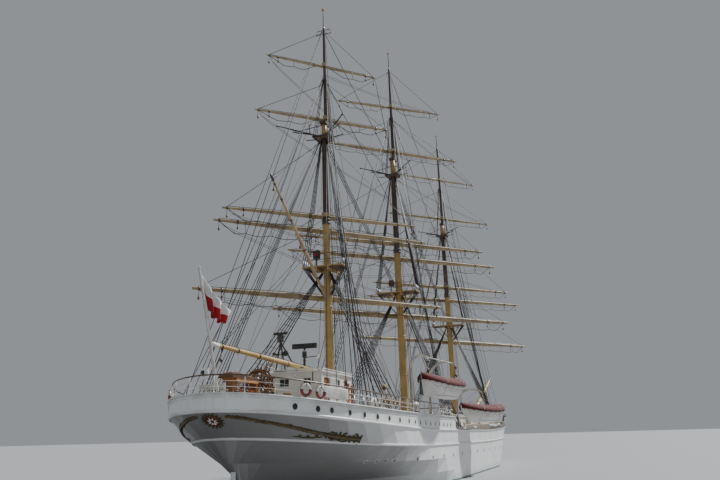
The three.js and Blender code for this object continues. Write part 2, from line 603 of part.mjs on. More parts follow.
// Lifeboats, double ended with their covers on, and the davits that they hang from. A boat's yaw
// turns its bow outboard; hooks are where it hangs, along its own length, one davit for each.
const boatShape = {
  stations: 16,
  sheerAft: { start: 0, length: 4.3 },
  sheerFore: { start: 0, length: 4.3 },
  levels: [
    { z: -1.12, up: [0.1, 0.15], ends: [-3.75, 2.5], half: 0.1, aft: [1, 2], fore: [1, 2] },
    { z: -1.02, up: [0.1, 0.2], ends: [-3.9, 3.05], half: 0.48, aft: [3.4, 1.6], fore: [3.6, 1.6] },
    { z: -0.76, up: [0.14, 0.25], ends: [-4.06, 3.6], half: 0.8, aft: [3.7, 1.8], fore: [3.9, 1.8] },
    { z: -0.4, up: [0.2, 0.28], ends: [-4.18, 3.98], half: 0.97, aft: [3.9, 2], fore: [4.0, 2] },
    { z: 0.0, up: [0.3, 0.3], ends: [-4.3, 4.3], half: 1.03, aft: [4.1, 2.1], fore: [4.2, 2.1] },
    { z: 0.07, up: [0.3, 0.3], ends: [-4.28, 4.28], half: 0.98, aft: [4.1, 2.1], fore: [4.2, 2.1] },
    { z: 0.3, up: [0.26, 0.22], ends: [-4.2, 4.2], half: 0.6, aft: [3.6, 2], fore: [3.6, 2] },
    { z: 0.45, up: [0.14, 0.1], ends: [-4.1, 4.1], half: 0.12, aft: [2, 2], fore: [2, 2] },
  ],
};
const boats = [
  { name: 'aft', x: -16.9, y: 7.08, z: 7.35, yaw: 8.5, deck: 'poop', hooks: [-2.95, 2.95] },
  { name: 'midship', x: -3.1, y: 7.7, z: 5.78, yaw: 196.5, deck: 'waist', hooks: [0] },
];
const davit = { y: 5.3, above: 1.95, rise: 1.35, radius: 0.075, steps: 9, bend: 130 };

// A round tube along points that lie in one plane square to the x axis.
function tube(points, radii, sides) {
  const across = new THREE.Vector3(1, 0, 0);
  const path = points.map((point) => new THREE.Vector3(...point));
  return stack(path.map((point, i) => {
    const along = path[Math.min(i + 1, path.length - 1)].clone().sub(path[Math.max(i - 1, 0)]).normalize();
    const up = along.clone().cross(across);
    return Array.from({ length: sides }, (_, k) => {
      const turn = 2 * Math.PI * k / sides;
      const spoke = across.clone().multiplyScalar(Math.cos(turn)).addScaledVector(up, Math.sin(turn));
      return point.clone().addScaledVector(spoke, radii[i]).toArray();
    });
  }));
}

// Davits with a rod between their heads where there are two. Each stands on deck, curves out over
// its boat and bends down to the hook.
function davits({ x, y, z, yaw, deck, hooks }, sign) {
  const top = z + davit.above;
  const bend = THREE.MathUtils.degToRad(davit.bend);
  const heading = THREE.MathUtils.degToRad(sign * yaw);
  const heads = [];
  let solid;
  for (const hook of hooks) {
    const footX = x + hook * Math.cos(heading);
    const reach = sign * y + hook * Math.sin(heading) - sign * davit.y;
    const path = [[footX, sign * davit.y, deckHeight(deck, footX) + 0.01]];
    const radii = [davit.radius * 1.5];
    for (let i = 0; i <= davit.steps; i++) {
      const turn = bend * i / davit.steps;
      const out = (1 - Math.cos(turn)) / (1 - Math.cos(bend));
      path.push([footX, sign * davit.y + reach * out, top - davit.rise * (1 - Math.sin(turn))]);
      radii.push(davit.radius * (1.2 - 0.35 * i / davit.steps));
    }
    const arm = tube(path, radii, 8);
    solid = solid ? solid.add(arm) : arm;
    heads.push(path[davit.steps]);
  }
  return heads.length > 1 ? solid.add(bar(...heads, 0.04, 0.04, 8)) : solid;
}

for (const row of boats) {
  for (const [side, sign] of sides) {
    const boat = stack(boatShape.levels.map((level) => ring(boatShape, level)));
    const hung = frameAt(group, [row.x, sign * row.y, row.z], { z: sign * row.yaw });
    add(hung, `lifeboat_${row.name}_${side}`, boat, 'white');
    add(group, `davits_${row.name}_${side}`, davits(row, sign), 'white');
  }
}

// Anchors, stowed against the bow with the shank up: the yaw follows the side's outline there and
// the lean follows its flare. In its own frame an anchor lies outward along y.
const anchor = { x: 32.9, z: 2.75, yaw: 25, lean: 26, off: -0.03, shank: 1.9, width: 1.6 };

function anchorSolid(sign) {
  const outward = (distance) => sign * distance;
  const crown = box(anchor.width * 0.62, 0.34, 0.34, 0, outward(0.2), 0);
  let solid = crown.add(box(0.2, 0.18, anchor.shank, 0, outward(0.2), anchor.shank / 2));
  for (const way of [-1, 1]) {
    const fluke = plate([[-0.13, -0.1], [0.15, -0.1], [0.17, 0.9], [0.0, 1.25], [-0.09, 0.9]], -0.06, 0.06);
    solid = solid.add(fluke.scale([way, 1, 1]).rotate([90, 0, 0]).translate([way * 0.42, outward(0.2), 0]));
  }
  return solid.add(Manifold.cylinder(0.1, 0.16, 0.16, 12, true).rotate([90, 0, 0])
    .translate([0, outward(0.2), anchor.shank]));
}

for (const [side, sign] of sides) {
  const half = halfAt(lowerMoulding, anchor.x) + anchor.off - 0.4;
  const place = frameAt(group, [anchor.x, sign * half, anchor.z], { z: -sign * anchor.yaw });
  add(frameAt(place, [0, 0, 0], { x: -sign * anchor.lean }), `anchor_${side}`, anchorSolid(sign), 'black');
}

// Radar gear on the port side of the chart house's roof.
const radar = {
  pedestal: [-25.3, 0.75],
  scannerZ: 9.62,
  length: 1.8,
  tripodTop: [-28.3, 1.15, 9.75],
  smallLength: 0.95,
};

function radarMast() {
  const roof = houses.chart.roof + gap;
  const [x, y] = radar.pedestal;
  const [tx, ty, tz] = radar.tripodTop;
  let solid = bar([x, y, roof], [x, y, radar.scannerZ - 0.2], 0.09, 0.08, 10);
  solid = solid.add(bar([x, y, 9.0], [x, y, radar.scannerZ - 0.2], 0.16, 0.16, 12));
  solid = solid.add(plate([[x + 0.2, y - 0.15], [x + 0.2, y + 0.3], [tx, 1.65], [tx, y + 0.05]], roof, roof + 0.08));
  for (const foot of [[-28.15, 1.55], [-28.15, 0.85], [-25.9, 0.9]]) {
    solid = solid.add(bar([...foot, roof + 0.05], [tx, ty, tz], 0.05, 0.05, 6));
  }
  return solid.add(Manifold.cylinder(0.42, 0.22, 0.22, 14).translate([tx, ty, tz]));
}
add(group, 'radar_mast', radarMast(), 'steel');

function scanner(width, length, height, low, stem) {
  const foot = Manifold.cylinder(low + height / 2 - stem.low, stem.radius, stem.radius, 10);
  return box(width, length, height, 0, 0, low + height / 2).add(foot.translate([0, 0, stem.low]));
}
const largeScanner = scanner(0.22, radar.length, 0.34, 0, { low: -0.14, radius: 0.07 });
add(frameAt(group, [...radar.pedestal, radar.scannerZ]), 'radar_scanner_large', largeScanner, 'black');
const [tripodX, tripodY, tripodZ] = radar.tripodTop;
const smallScanner = scanner(0.14, radar.smallLength, 0.14, 0.05, { low: 0.01, radius: 0.05 });
add(frameAt(group, [tripodX, tripodY, tripodZ + 0.42]), 'radar_scanner_small', smallScanner, 'black');

// Flagstaff and ensign
const staff = { foot: [-37.8, 0, 5.603], top: [-40.15, 0, 12.05] };
add(group, 'flagstaff', bar(staff.foot, staff.top, 0.07, 0.045, 10), 'white');

function ensign() {
  const hoistTop = [-39.85, 0, 11.7];
  const corners = [hoistTop, [-39.15, 0, 10.05], [-37.9, -0.3, 9.4], [-37.55, -0.45, 10.15]];
  const points = [];
  for (const [x, y, z] of corners) points.push([x, y - 0.05, z], [x, y + 0.05, z]);
  return Manifold.hull(points);
}
add(group, 'ensign', ensign(), 'canvas');

export default group;
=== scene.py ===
from math import copysign, cos, degrees, pi, radians, sin, tan
import random

import bmesh
import bpy
from mathutils import Matrix, Vector
from mathutils.bvhtree import BVHTree


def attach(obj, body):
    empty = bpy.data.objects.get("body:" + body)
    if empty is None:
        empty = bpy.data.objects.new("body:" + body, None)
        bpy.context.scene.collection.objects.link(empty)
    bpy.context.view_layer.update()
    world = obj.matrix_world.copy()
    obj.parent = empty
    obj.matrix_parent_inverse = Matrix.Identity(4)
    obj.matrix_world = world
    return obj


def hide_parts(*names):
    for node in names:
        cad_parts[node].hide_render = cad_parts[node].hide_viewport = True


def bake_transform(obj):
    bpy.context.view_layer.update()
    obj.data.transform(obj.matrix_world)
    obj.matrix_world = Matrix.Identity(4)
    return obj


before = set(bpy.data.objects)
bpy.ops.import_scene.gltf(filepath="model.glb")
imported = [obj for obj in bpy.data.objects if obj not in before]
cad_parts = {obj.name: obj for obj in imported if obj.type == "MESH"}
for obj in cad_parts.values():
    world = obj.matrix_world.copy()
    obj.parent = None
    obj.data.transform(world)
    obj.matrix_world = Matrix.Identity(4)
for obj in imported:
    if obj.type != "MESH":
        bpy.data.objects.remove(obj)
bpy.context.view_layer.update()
random.seed(11)

# The model is a tenth of the ship. Sizes below are the ship's own, in metres, and scaled where they are used.
modelScale = 0.1
bothSides = (("starboard", -1), ("port", 1))
print("frame loaded")

camera = {"place": (-68.87, -18.32, 3.62), "heading": 18.77, "pitch": 16.17, "roll": -1.42, "lens": 34.0}


def makeCamera():
    heading, pitch, roll = (radians(camera[k]) for k in ("heading", "pitch", "roll"))
    ahead = Vector((cos(pitch) * cos(heading), cos(pitch) * sin(heading), sin(pitch)))
    right = Vector((sin(heading), -cos(heading), 0))
    up = right.cross(ahead)
    rightRolled = right * cos(roll) + up * sin(roll)
    upRolled = up * cos(roll) - right * sin(roll)
    data = bpy.data.cameras.new("camera")
    data.lens, data.sensor_width = camera["lens"], 36
    data.clip_start, data.clip_end = 0.05, 2000
    eye = bpy.data.objects.new("camera", data)
    turned = Matrix((rightRolled, upRolled, -ahead)).transposed().to_4x4()
    eye.matrix_world = Matrix.Translation(Vector(camera["place"]) * modelScale) @ turned
    bpy.context.scene.collection.objects.link(eye)
    bpy.context.scene.camera = eye


makeCamera()
print("camera set")

# Finishes. Every one is made of nodes on the object's own coordinates, so it rides with its piece.


def newFinish(name, roughness=0.5, metallic=0.0, specular=0.5, coat=0.0):
    finish = bpy.data.materials.new(name)
    finish.use_nodes = True
    shader = finish.node_tree.nodes["Principled BSDF"]
    shader.inputs["Roughness"].default_value = roughness
    shader.inputs["Metallic"].default_value = metallic
    shader.inputs["Specular IOR Level"].default_value = specular
    shader.inputs["Coat Weight"].default_value = coat
    return finish


def addNode(finish, kind, **settings):
    node = finish.node_tree.nodes.new(kind)
    for key, value in settings.items():
        if key in node.inputs:
            node.inputs[key].default_value = value
        else:
            setattr(node, key, value)
    return node


def wire(finish, source, target):
    finish.node_tree.links.new(source, target)


def objectPlace(finish, stretch=(1, 1, 1)):
    place = addNode(finish, "ShaderNodeTexCoord")
    mapping = addNode(finish, "ShaderNodeMapping")
    mapping.inputs["Scale"].default_value = stretch
    wire(finish, place.outputs["Object"], mapping.inputs["Vector"])
    return mapping.outputs["Vector"]


def noiseOn(finish, scale, detail=4.0, stretch=(1, 1, 1), rough=0.55):
    field = addNode(finish, "ShaderNodeTexNoise", Scale=scale, Detail=detail, Roughness=rough)
    wire(finish, objectPlace(finish, stretch), field.inputs["Vector"])
    return field.outputs["Fac"]


def rampOn(finish, source, stops):
    ramp = addNode(finish, "ShaderNodeValToRGB")
    elements = ramp.color_ramp.elements
    while len(elements) < len(stops):
        elements.new(0.5)
    for element, (at, colour) in zip(elements, stops):
        element.position = at
        element.color = (*colour, 1) if len(colour) == 3 else colour
    wire(finish, source, ramp.inputs["Fac"])
    return ramp.outputs["Color"]


def mixOn(finish, share, first, second, blend="MIX"):
    mix = addNode(finish, "ShaderNodeMix", data_type="RGBA", blend_type=blend)
    for value, socket in ((share, mix.inputs[0]), (first, mix.inputs[6]), (second, mix.inputs[7])):
        if isinstance(value, bpy.types.NodeSocket):
            wire(finish, value, socket)
        elif isinstance(value, (int, float)):
            socket.default_value = value
        else:
            socket.default_value = (*value, 1)
    return mix.outputs[2]


def mathOn(finish, operation, first, second=0.0, clamp=False):
    node = addNode(finish, "ShaderNodeMath", operation=operation, use_clamp=clamp)
    for value, socket in ((first, node.inputs[0]), (second, node.inputs[1])):
        if isinstance(value, bpy.types.NodeSocket):
            wire(finish, value, socket)
        else:
            socket.default_value = value
    return node.outputs[0]


def rangeOn(finish, source, low, high, toLow=0.0, toHigh=1.0):
    node = addNode(finish, "ShaderNodeMapRange")
    for key, value in (("From Min", low), ("From Max", high), ("To Min", toLow), ("To Max", toHigh)):
        node.inputs[key].default_value = value
    wire(finish, source, node.inputs["Value"])
    return node.outputs["Result"]


def bumpOn(finish, height, depth, strength=0.6, under=None):
    bump = addNode(finish, "ShaderNodeBump", Strength=strength, Distance=depth)
    wire(finish, height, bump.inputs["Height"])
    if under is not None:
        wire(finish, under, bump.inputs["Normal"])
    return bump.outputs["Normal"]


def shaderOf(finish):
    return finish.node_tree.nodes["Principled BSDF"]


# A painted surface: two close tones, faint dirt that gathers in patches, brush marks and a broken gloss.
paints = {
    "houseWhite": {"tone": (0.80, 0.81, 0.80), "worn": (0.66, 0.67, 0.65), "rough": (0.32, 0.5), "grain": 28},
    "boatWhite": {"tone": (0.78, 0.78, 0.75), "worn": (0.55, 0.53, 0.46), "rough": (0.3, 0.5), "grain": 22},
    "davitWhite": {"tone": (0.72, 0.73, 0.72), "worn": (0.45, 0.42, 0.36), "rough": (0.4, 0.6), "grain": 40},
    "sparBuff": {"tone": (0.50, 0.345, 0.12), "worn": (0.36, 0.235, 0.08), "rough": (0.48, 0.68), "grain": 30},
    "yardBuff": {"tone": (0.43, 0.335, 0.185), "worn": (0.25, 0.19, 0.11), "rough": (0.5, 0.7), "grain": 34},
    "mastDark": {"tone": (0.045, 0.028, 0.022), "worn": (0.10, 0.065, 0.05), "rough": (0.3, 0.5), "grain": 30},
    "gearBlack": {"tone": (0.022, 0.024, 0.026), "worn": (0.07, 0.07, 0.068), "rough": (0.4, 0.62), "grain": 60},
    "railBrown": {"tone": (0.055, 0.026, 0.016), "worn": (0.11, 0.058, 0.035), "rough": (0.25, 0.45), "grain": 60},
    "gearLidBrown": {"tone": (0.075, 0.034, 0.018), "worn": (0.13, 0.07, 0.04), "rough": (0.28, 0.45), "grain": 70},
    "topBrown": {"tone": (0.19, 0.13, 0.08), "worn": (0.10, 0.07, 0.05), "rough": (0.5, 0.7), "grain": 40},
    "ringRed": {"tone": (0.30, 0.04, 0.035), "worn": (0.20, 0.035, 0.03), "rough": (0.35, 0.5), "grain": 120},
    "ringWhite": {"tone": (0.80, 0.79, 0.76), "worn": (0.62, 0.60, 0.56), "rough": (0.4, 0.55), "grain": 120},
    "leafGreen": {"tone": (0.028, 0.045, 0.02), "worn": (0.075, 0.065, 0.025), "rough": (0.35, 0.6), "grain": 90},
    "ventRed": {"tone": (0.26, 0.022, 0.02), "worn": (0.15, 0.02, 0.018), "rough": (0.4, 0.6), "grain": 60},
    "hullTrimWhite": {"tone": (0.76, 0.77, 0.76), "worn": (0.60, 0.60, 0.57), "rough": (0.32, 0.48), "grain": 24},
    "hatchGrey": {"tone": (0.52, 0.54, 0.53), "worn": (0.38, 0.39, 0.37), "rough": (0.45, 0.65), "grain": 40},
}


def paintFinish(name):
    look = paints[name]
    finish = newFinish(name)
    shader = shaderOf(finish)
    patches = noiseOn(finish, look["grain"] * 0.25, 5.0)
    colour = rampOn(finish, patches, [(0.35, look["worn"]), (0.62, look["tone"])])
    fine = noiseOn(finish, look["grain"] * 6, 3.0)
    colour = mixOn(finish, rangeOn(finish, fine, 0.3, 0.8, 0.0, 0.16), colour, look["worn"])
    wire(finish, colour, shader.inputs["Base Color"])
    wire(finish, rangeOn(finish, noiseOn(finish, look["grain"], 4.0), 0.3, 0.7, *look["rough"]),
            shader.inputs["Roughness"])
    wire(finish, bumpOn(finish, noiseOn(finish, look["grain"] * 4, 3.0), 0.0006, 0.35), shader.inputs["Normal"])
    return finish


# Varnished and bare wood: rings stretched along the grain, which runs along one axis.
woods = {"varnishedWood": {"dark": (0.16, 0.052, 0.014), "light": (0.40, 0.16, 0.045), "along": "x",
        "rough": (0.16, 0.3), "coat": 0.4}, "doorWood": {"dark": (0.17, 0.06, 0.02), "light": (0.36, 0.15, 0.06),
        "along": "z", "rough": (0.2, 0.35), "coat": 0.3}, "wheelWood": {"dark": (0.07, 0.022, 0.012),
        "light": (0.17, 0.06, 0.025), "along": "x", "rough": (0.2, 0.36), "coat": 0.35},
        "orangeWood": {"dark": (0.42, 0.17, 0.045), "light": (0.62, 0.29, 0.09), "along": "x",
        "rough": (0.22, 0.38), "coat": 0.3}, "bareWood": {"dark": (0.30, 0.20, 0.11), "light": (0.47, 0.35, 0.21),
        "along": "x", "rough": (0.5, 0.7), "coat": 0.0},}
grainStretch = {"x": (1, 9, 9), "y": (9, 1, 9), "z": (9, 9, 1)}


def woodFinish(name):
    look = woods[name]
    finish = newFinish(name, coat=look["coat"])
    shader = shaderOf(finish)
    shader.inputs["Coat Roughness"].default_value = 0.12
    grain = noiseOn(finish, 26, 8.0, grainStretch[look["along"]], 0.65)
    colour = rampOn(finish, grain, [(0.3, look["dark"]), (0.5, look["light"]), (0.72, look["dark"])])
    broad = noiseOn(finish, 7, 3.0)
    colour = mixOn(finish, rangeOn(finish, broad, 0.3, 0.75, 0.0, 0.45), colour, look["dark"])
    wire(finish, colour, shader.inputs["Base Color"])
    wire(finish, rangeOn(finish, grain, 0.3, 0.7, *look["rough"]), shader.inputs["Roughness"])
    wire(finish, bumpOn(finish, grain, 0.0006, 0.4), shader.inputs["Normal"])
    return finish


# Laid planks with dark caulked seams, run fore and aft.
planking = {"width": 0.13, "length": 6.0, "seam": 0.016}


def plankColour(finish):
    brick = addNode(finish, "ShaderNodeTexBrick", Scale=1.0)
    brick.offset, brick.squash = 0.37, 1.0
    brick.inputs["Color1"].default_value = (0.32, 0.245, 0.155, 1)
    brick.inputs["Color2"].default_value = (0.45, 0.36, 0.245, 1)
    brick.inputs["Mortar"].default_value = (0.035, 0.03, 0.026, 1)
    brick.inputs["Mortar Size"].default_value = planking["seam"] * modelScale * 0.5
    brick.inputs["Mortar Smooth"].default_value = 0.2
    brick.inputs["Brick Width"].default_value = planking["length"] * modelScale
    brick.inputs["Row Height"].default_value = planking["width"] * modelScale
    wire(finish, objectPlace(finish), brick.inputs["Vector"])
    grain = noiseOn(finish, 60, 6.0, (0.15, 1.6, 1.6))
    colour = mixOn(finish, rangeOn(finish, grain, 0.35, 0.7, 0.0, 0.4), brick.outputs["Color"], (0.24, 0.185, 0.125))
    wear = noiseOn(finish, 2.2, 4.0)
    colour = mixOn(finish, rangeOn(finish, wear, 0.4, 0.75, 0.0, 0.35), colour, (0.52, 0.46, 0.37))
    return colour, brick.outputs["Fac"], grain


# White plating above the water and dull green below, with welded and lapped plate edges, runs of dirt, painted shade
# on the down-facing plating under the counter, and the planked decks that belong to the same body.
hullLook = {"white": (0.80, 0.81, 0.80), "dirt": (0.56, 0.56, 0.53), "streak": (0.40, 0.36, 0.29),
        "paintedShade": (0.122, 0.116, 0.106), "below": (0.035, 0.085, 0.07), "belowWorn": (0.09, 0.13, 0.11),
        "bootTop": 0.35, "plateLength": 7.2, "plateHeight": 1.25, "seam": 0.03, "deckFrom": 2.6}


def hullFinish():
    look = hullLook
    finish = newFinish("hullPlating")
    shader = shaderOf(finish)
    place = addNode(finish, "ShaderNodeTexCoord").outputs["Object"]
    split = addNode(finish, "ShaderNodeSeparateXYZ")
    wire(finish, place, split.inputs["Vector"])
    turnedFlat = addNode(finish, "ShaderNodeCombineXYZ")
    wire(finish, split.outputs["X"], turnedFlat.inputs["X"])
    wire(finish, split.outputs["Z"], turnedFlat.inputs["Y"])
    plates = addNode(finish, "ShaderNodeTexBrick", Scale=1.0)
    plates.offset = 0.5
    for key, value in (("Mortar Size", look["seam"] * modelScale), ("Mortar Smooth", 0.9),
            ("Brick Width", look["plateLength"] * modelScale), ("Row Height", look["plateHeight"] * modelScale)):
        plates.inputs[key].default_value = value
    wire(finish, turnedFlat.outputs["Vector"], plates.inputs["Vector"])
    tone = rampOn(finish, noiseOn(finish, 3.5, 5.0), [(0.3, look["dirt"]), (0.55, look["white"])])
    tone = mixOn(finish, 0.55, tone, look["white"])
    runs = noiseOn(finish, 9.0, 5.0, (2.2, 2.2, 0.12))
    tone = mixOn(finish, rangeOn(finish, runs, 0.6, 0.8, 0.0, 0.3), tone, look["streak"])
    fine = noiseOn(finish, 120, 3.0)
    tone = mixOn(finish, rangeOn(finish, fine, 0.45, 0.8, 0.0, 0.12), tone, look["dirt"])
    tone = mixOn(finish, mathOn(finish, "MULTIPLY", plates.outputs["Fac"], 0.25), tone, look["dirt"])
    ragged = mathOn(finish, "MULTIPLY_ADD", noiseOn(finish, 6.0, 4.0), 0.016)
    ragged.node.inputs[2].default_value = -0.008
    waterline = mathOn(finish, "ADD", split.outputs["Z"], ragged)
    slime = rangeOn(finish, waterline, 0.0, look["bootTop"] * modelScale * 2.0, 0.55, 0.0)
    tone = mixOn(finish, slime, tone, (0.30, 0.32, 0.27))
    below = mixOn(finish, noiseOn(finish, 5.0, 5.0), look["below"], look["belowWorn"])
    tone = mixOn(finish, mathOn(finish, "LESS_THAN", waterline, look["bootTop"] * modelScale * 0.4), tone, below)
    planks, seams, grain = plankColour(finish)
    facing = addNode(finish, "ShaderNodeSeparateXYZ")
    wire(finish, addNode(finish, "ShaderNodeNewGeometry").outputs["Normal"], facing.inputs["Vector"])
    # Painted shade: plating that faces down, aft under the counter, is darkened towards near-black to stand in for
    # the shade there.
    shadeFacingDown = rangeOn(finish, facing.outputs["Z"], -0.16, -0.64, 0.0, 0.82)
    shadeUnderCounter = rangeOn(finish, split.outputs["X"], -2.5, -1.1, 1.0, 0.0)
    tone = mixOn(finish, mathOn(finish, "MULTIPLY", shadeFacingDown, shadeUnderCounter), tone, look["paintedShade"])
    onDeck = mathOn(finish, "MULTIPLY", mathOn(finish, "GREATER_THAN", facing.outputs["Z"], 0.9),
                    mathOn(finish, "GREATER_THAN", split.outputs["Z"], look["deckFrom"] * modelScale))
    wire(finish, mixOn(finish, onDeck, tone, planks), shader.inputs["Base Color"])
    rough = rangeOn(finish, noiseOn(finish, 12.0, 4.0), 0.3, 0.7, 0.30, 0.48)
    rough = mathOn(finish, "ADD", rough, mathOn(finish, "MULTIPLY", onDeck, 0.3), clamp=True)
    wire(finish, rough, shader.inputs["Roughness"])
    dents = bumpOn(finish, noiseOn(finish, 7.0, 2.0, (1, 1, 1.6)), 0.004, 0.18)
    laps = bumpOn(finish, mathOn(finish, "SUBTRACT", 1.0, plates.outputs["Fac"]), 0.0008, 0.35, dents)
    wire(finish, laps, shader.inputs["Normal"])
    return finish


# Metals, ropes and cloths.
metals = {
    "bronze": {"tone": (0.52, 0.33, 0.13), "worn": (0.20, 0.17, 0.08), "rough": (0.25, 0.5), "metal": 1.0},
    "brass": {"tone": (0.62, 0.43, 0.15), "worn": (0.33, 0.22, 0.08), "rough": (0.2, 0.42), "metal": 1.0},
    "galvanised": {"tone": (0.42, 0.43, 0.43), "worn": (0.24, 0.24, 0.235), "rough": (0.4, 0.6), "metal": 0.85},
    "gildedLeaf": {"tone": (0.14, 0.09, 0.028), "worn": (0.035, 0.032, 0.014), "rough": (0.4, 0.65), "metal": 0.2},
    "darkMetal": {"tone": (0.06, 0.062, 0.065), "worn": (0.13, 0.11, 0.09), "rough": (0.35, 0.55), "metal": 0.7},
}


def metalFinish(name):
    look = metals[name]
    finish = newFinish(name, metallic=look["metal"])
    shader = shaderOf(finish)
    colour = rampOn(finish, noiseOn(finish, 45, 6.0), [(0.35, look["worn"]), (0.6, look["tone"])])
    wire(finish, colour, shader.inputs["Base Color"])
    wire(finish, rangeOn(finish, noiseOn(finish, 90, 4.0), 0.3, 0.7, *look["rough"]), shader.inputs["Roughness"])
    wire(finish, bumpOn(finish, noiseOn(finish, 260, 3.0), 0.0003, 0.3), shader.inputs["Normal"])
    return finish


ropes = {
    "wireRope": {"tone": (0.035, 0.035, 0.04), "worn": (0.10, 0.095, 0.09), "rough": 0.5, "lay": 520},
    "darkRope": {"tone": (0.055, 0.045, 0.035), "worn": (0.12, 0.10, 0.075), "rough": 0.85, "lay": 420},
    "hempRope": {"tone": (0.40, 0.31, 0.19), "worn": (0.24, 0.18, 0.11), "rough": 0.9, "lay": 380},
    "paleRope": {"tone": (0.55, 0.50, 0.42), "worn": (0.38, 0.34, 0.28), "rough": 0.9, "lay": 380},
}


def ropeFinish(name):
    look = ropes[name]
    finish = newFinish(name, roughness=look["rough"], specular=0.12)
    shader = shaderOf(finish)
    lay = addNode(finish, "ShaderNodeTexWave", Scale=look["lay"], Distortion=1.5, Detail=1.0)
    lay.bands_direction = "DIAGONAL"
    wire(finish, objectPlace(finish), lay.inputs["Vector"])
    colour = mixOn(finish, mathOn(finish, "MULTIPLY", lay.outputs["Fac"], 0.7), look["tone"], look["worn"])
    colour = mixOn(finish, rangeOn(finish, noiseOn(finish, 14, 4.0), 0.35, 0.75, 0.0, 0.5), colour, look["tone"])
    wire(finish, colour, shader.inputs["Base Color"])
    wire(finish, bumpOn(finish, lay.outputs["Fac"], 0.0005, 0.7), shader.inputs["Normal"])
    return finish


cloths = {
    "coverMaroon": {"tone": (0.125, 0.012, 0.011), "fold": (0.062, 0.008, 0.008), "weave": 900, "sheen": 0.05},
    "canvasGrey": {"tone": (0.33, 0.34, 0.34), "fold": (0.20, 0.205, 0.21), "weave": 800, "sheen": 0.2},
    "canvasWhite": {"tone": (0.70, 0.69, 0.64), "fold": (0.52, 0.50, 0.45), "weave": 800, "sheen": 0.2},
    "ensignWhite": {"tone": (0.66, 0.65, 0.63), "fold": (0.50, 0.49, 0.48), "weave": 1100, "sheen": 0.1},
    "ensignRed": {"tone": (0.36, 0.012, 0.018), "fold": (0.22, 0.010, 0.014), "weave": 1100, "sheen": 0.1},
}


def clothFinish(name):
    look = cloths[name]
    finish = newFinish(name, roughness=0.85, specular=0.25)
    shader = shaderOf(finish)
    shader.inputs["Sheen Weight"].default_value = look["sheen"]
    shader.inputs["Sheen Roughness"].default_value = 0.5
    colour = rampOn(finish, noiseOn(finish, 16, 5.0), [(0.35, look["fold"]), (0.6, look["tone"])])
    threads = addNode(finish, "ShaderNodeTexWave", Scale=look["weave"], Distortion=0.6, Detail=1.0)
    wire(finish, objectPlace(finish), threads.inputs["Vector"])
    cross = addNode(finish, "ShaderNodeTexWave", Scale=look["weave"], Distortion=0.6, Detail=1.0)
    cross.bands_direction = "Z"
    wire(finish, objectPlace(finish), cross.inputs["Vector"])
    weave = mathOn(finish, "MULTIPLY", threads.outputs["Fac"], cross.outputs["Fac"])
    colour = mixOn(finish, mathOn(finish, "MULTIPLY", weave, 0.25), colour, look["fold"])
    wire(finish, colour, shader.inputs["Base Color"])
    under = bumpOn(finish, noiseOn(finish, 24, 4.0), 0.002, 0.4)
    wire(finish, bumpOn(finish, weave, 0.0003, 0.5, under), shader.inputs["Normal"])
    return finish


def glassFinish(name, tone, rough):
    finish = newFinish(name, roughness=rough, specular=0.35)
    shader = shaderOf(finish)
    shader.inputs["Coat Weight"].default_value = 0.12
    shader.inputs["Coat Roughness"].default_value = 0.06
    colour = rampOn(finish, noiseOn(finish, 30, 3.0), [(0.3, tone),
            (0.7, tuple(min(1.0, 1.7 * c + 0.01) for c in tone))])
    wire(finish, colour, shader.inputs["Base Color"])
    wire(finish, bumpOn(finish, noiseOn(finish, 18, 2.0), 0.0004, 0.2), shader.inputs["Normal"])
    return finish


finishes = {"hullPlating": hullFinish()}
for name in paints:
    finishes[name] = paintFinish(name)
for name in woods:
    finishes[name] = woodFinish(name)
for name in metals:
    finishes[name] = metalFinish(name)
for name in ropes:
    finishes[name] = ropeFinish(name)
for name in cloths:
    finishes[name] = clothFinish(name)
finishes["darkGlass"] = glassFinish("darkGlass", (0.010, 0.014, 0.018), 0.2)
finishes["lampRed"] = glassFinish("lampRed", (0.30, 0.01, 0.012), 0.15)
finishes["lampWhite"] = glassFinish("lampWhite", (0.55, 0.55, 0.50), 0.15)
print("finishes made:", len(finishes))

# Which finish each node of the frame takes.
nodeFinish = {
    "hull": "hullPlating", "stern_frame": "hullPlating", "rudder": "hullPlating", "propeller": "bronze",
    "steering_gear_case": "varnishedWood", "steering_wheel": "wheelWood", "chart_house_walls": "houseWhite",
    "chart_house_roof": "houseWhite", "chart_house_door_starboard": "doorWood", "chart_house_door_port": "doorWood",
    "midship_house_walls": "houseWhite", "midship_house_roof": "houseWhite", "bowsprit": "sparBuff",
    "spanker_boom": "sparBuff", "gaff": "yardBuff", "radar_mast": "darkMetal", "radar_scanner_large": "gearBlack",
    "radar_scanner_small": "gearBlack", "flagstaff": "davitWhite", "ensign": "canvasWhite",
    "anchor_starboard": "gearBlack", "anchor_port": "gearBlack",
}


def dressFrame():
    for node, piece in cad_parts.items():
        name = nodeFinish.get(node)
        if name is None:
            name = ("sparBuff" if node.endswith("_lower_mast") else "mastDark" if node.endswith("mast")
                    else "yardBuff" if node.endswith("_yard") else "wireRope" if node.endswith("_stay")
                    else "boatWhite" if node.startswith("lifeboat") else "davitWhite")
        piece.data.materials.clear()
        piece.data.materials.append(finishes[name])


dressFrame()
print("frame dressed")


def upBy(height):
    return Vector((0, 0, height))


def circle(count):
    return [2 * pi * i / count for i in range(count)]


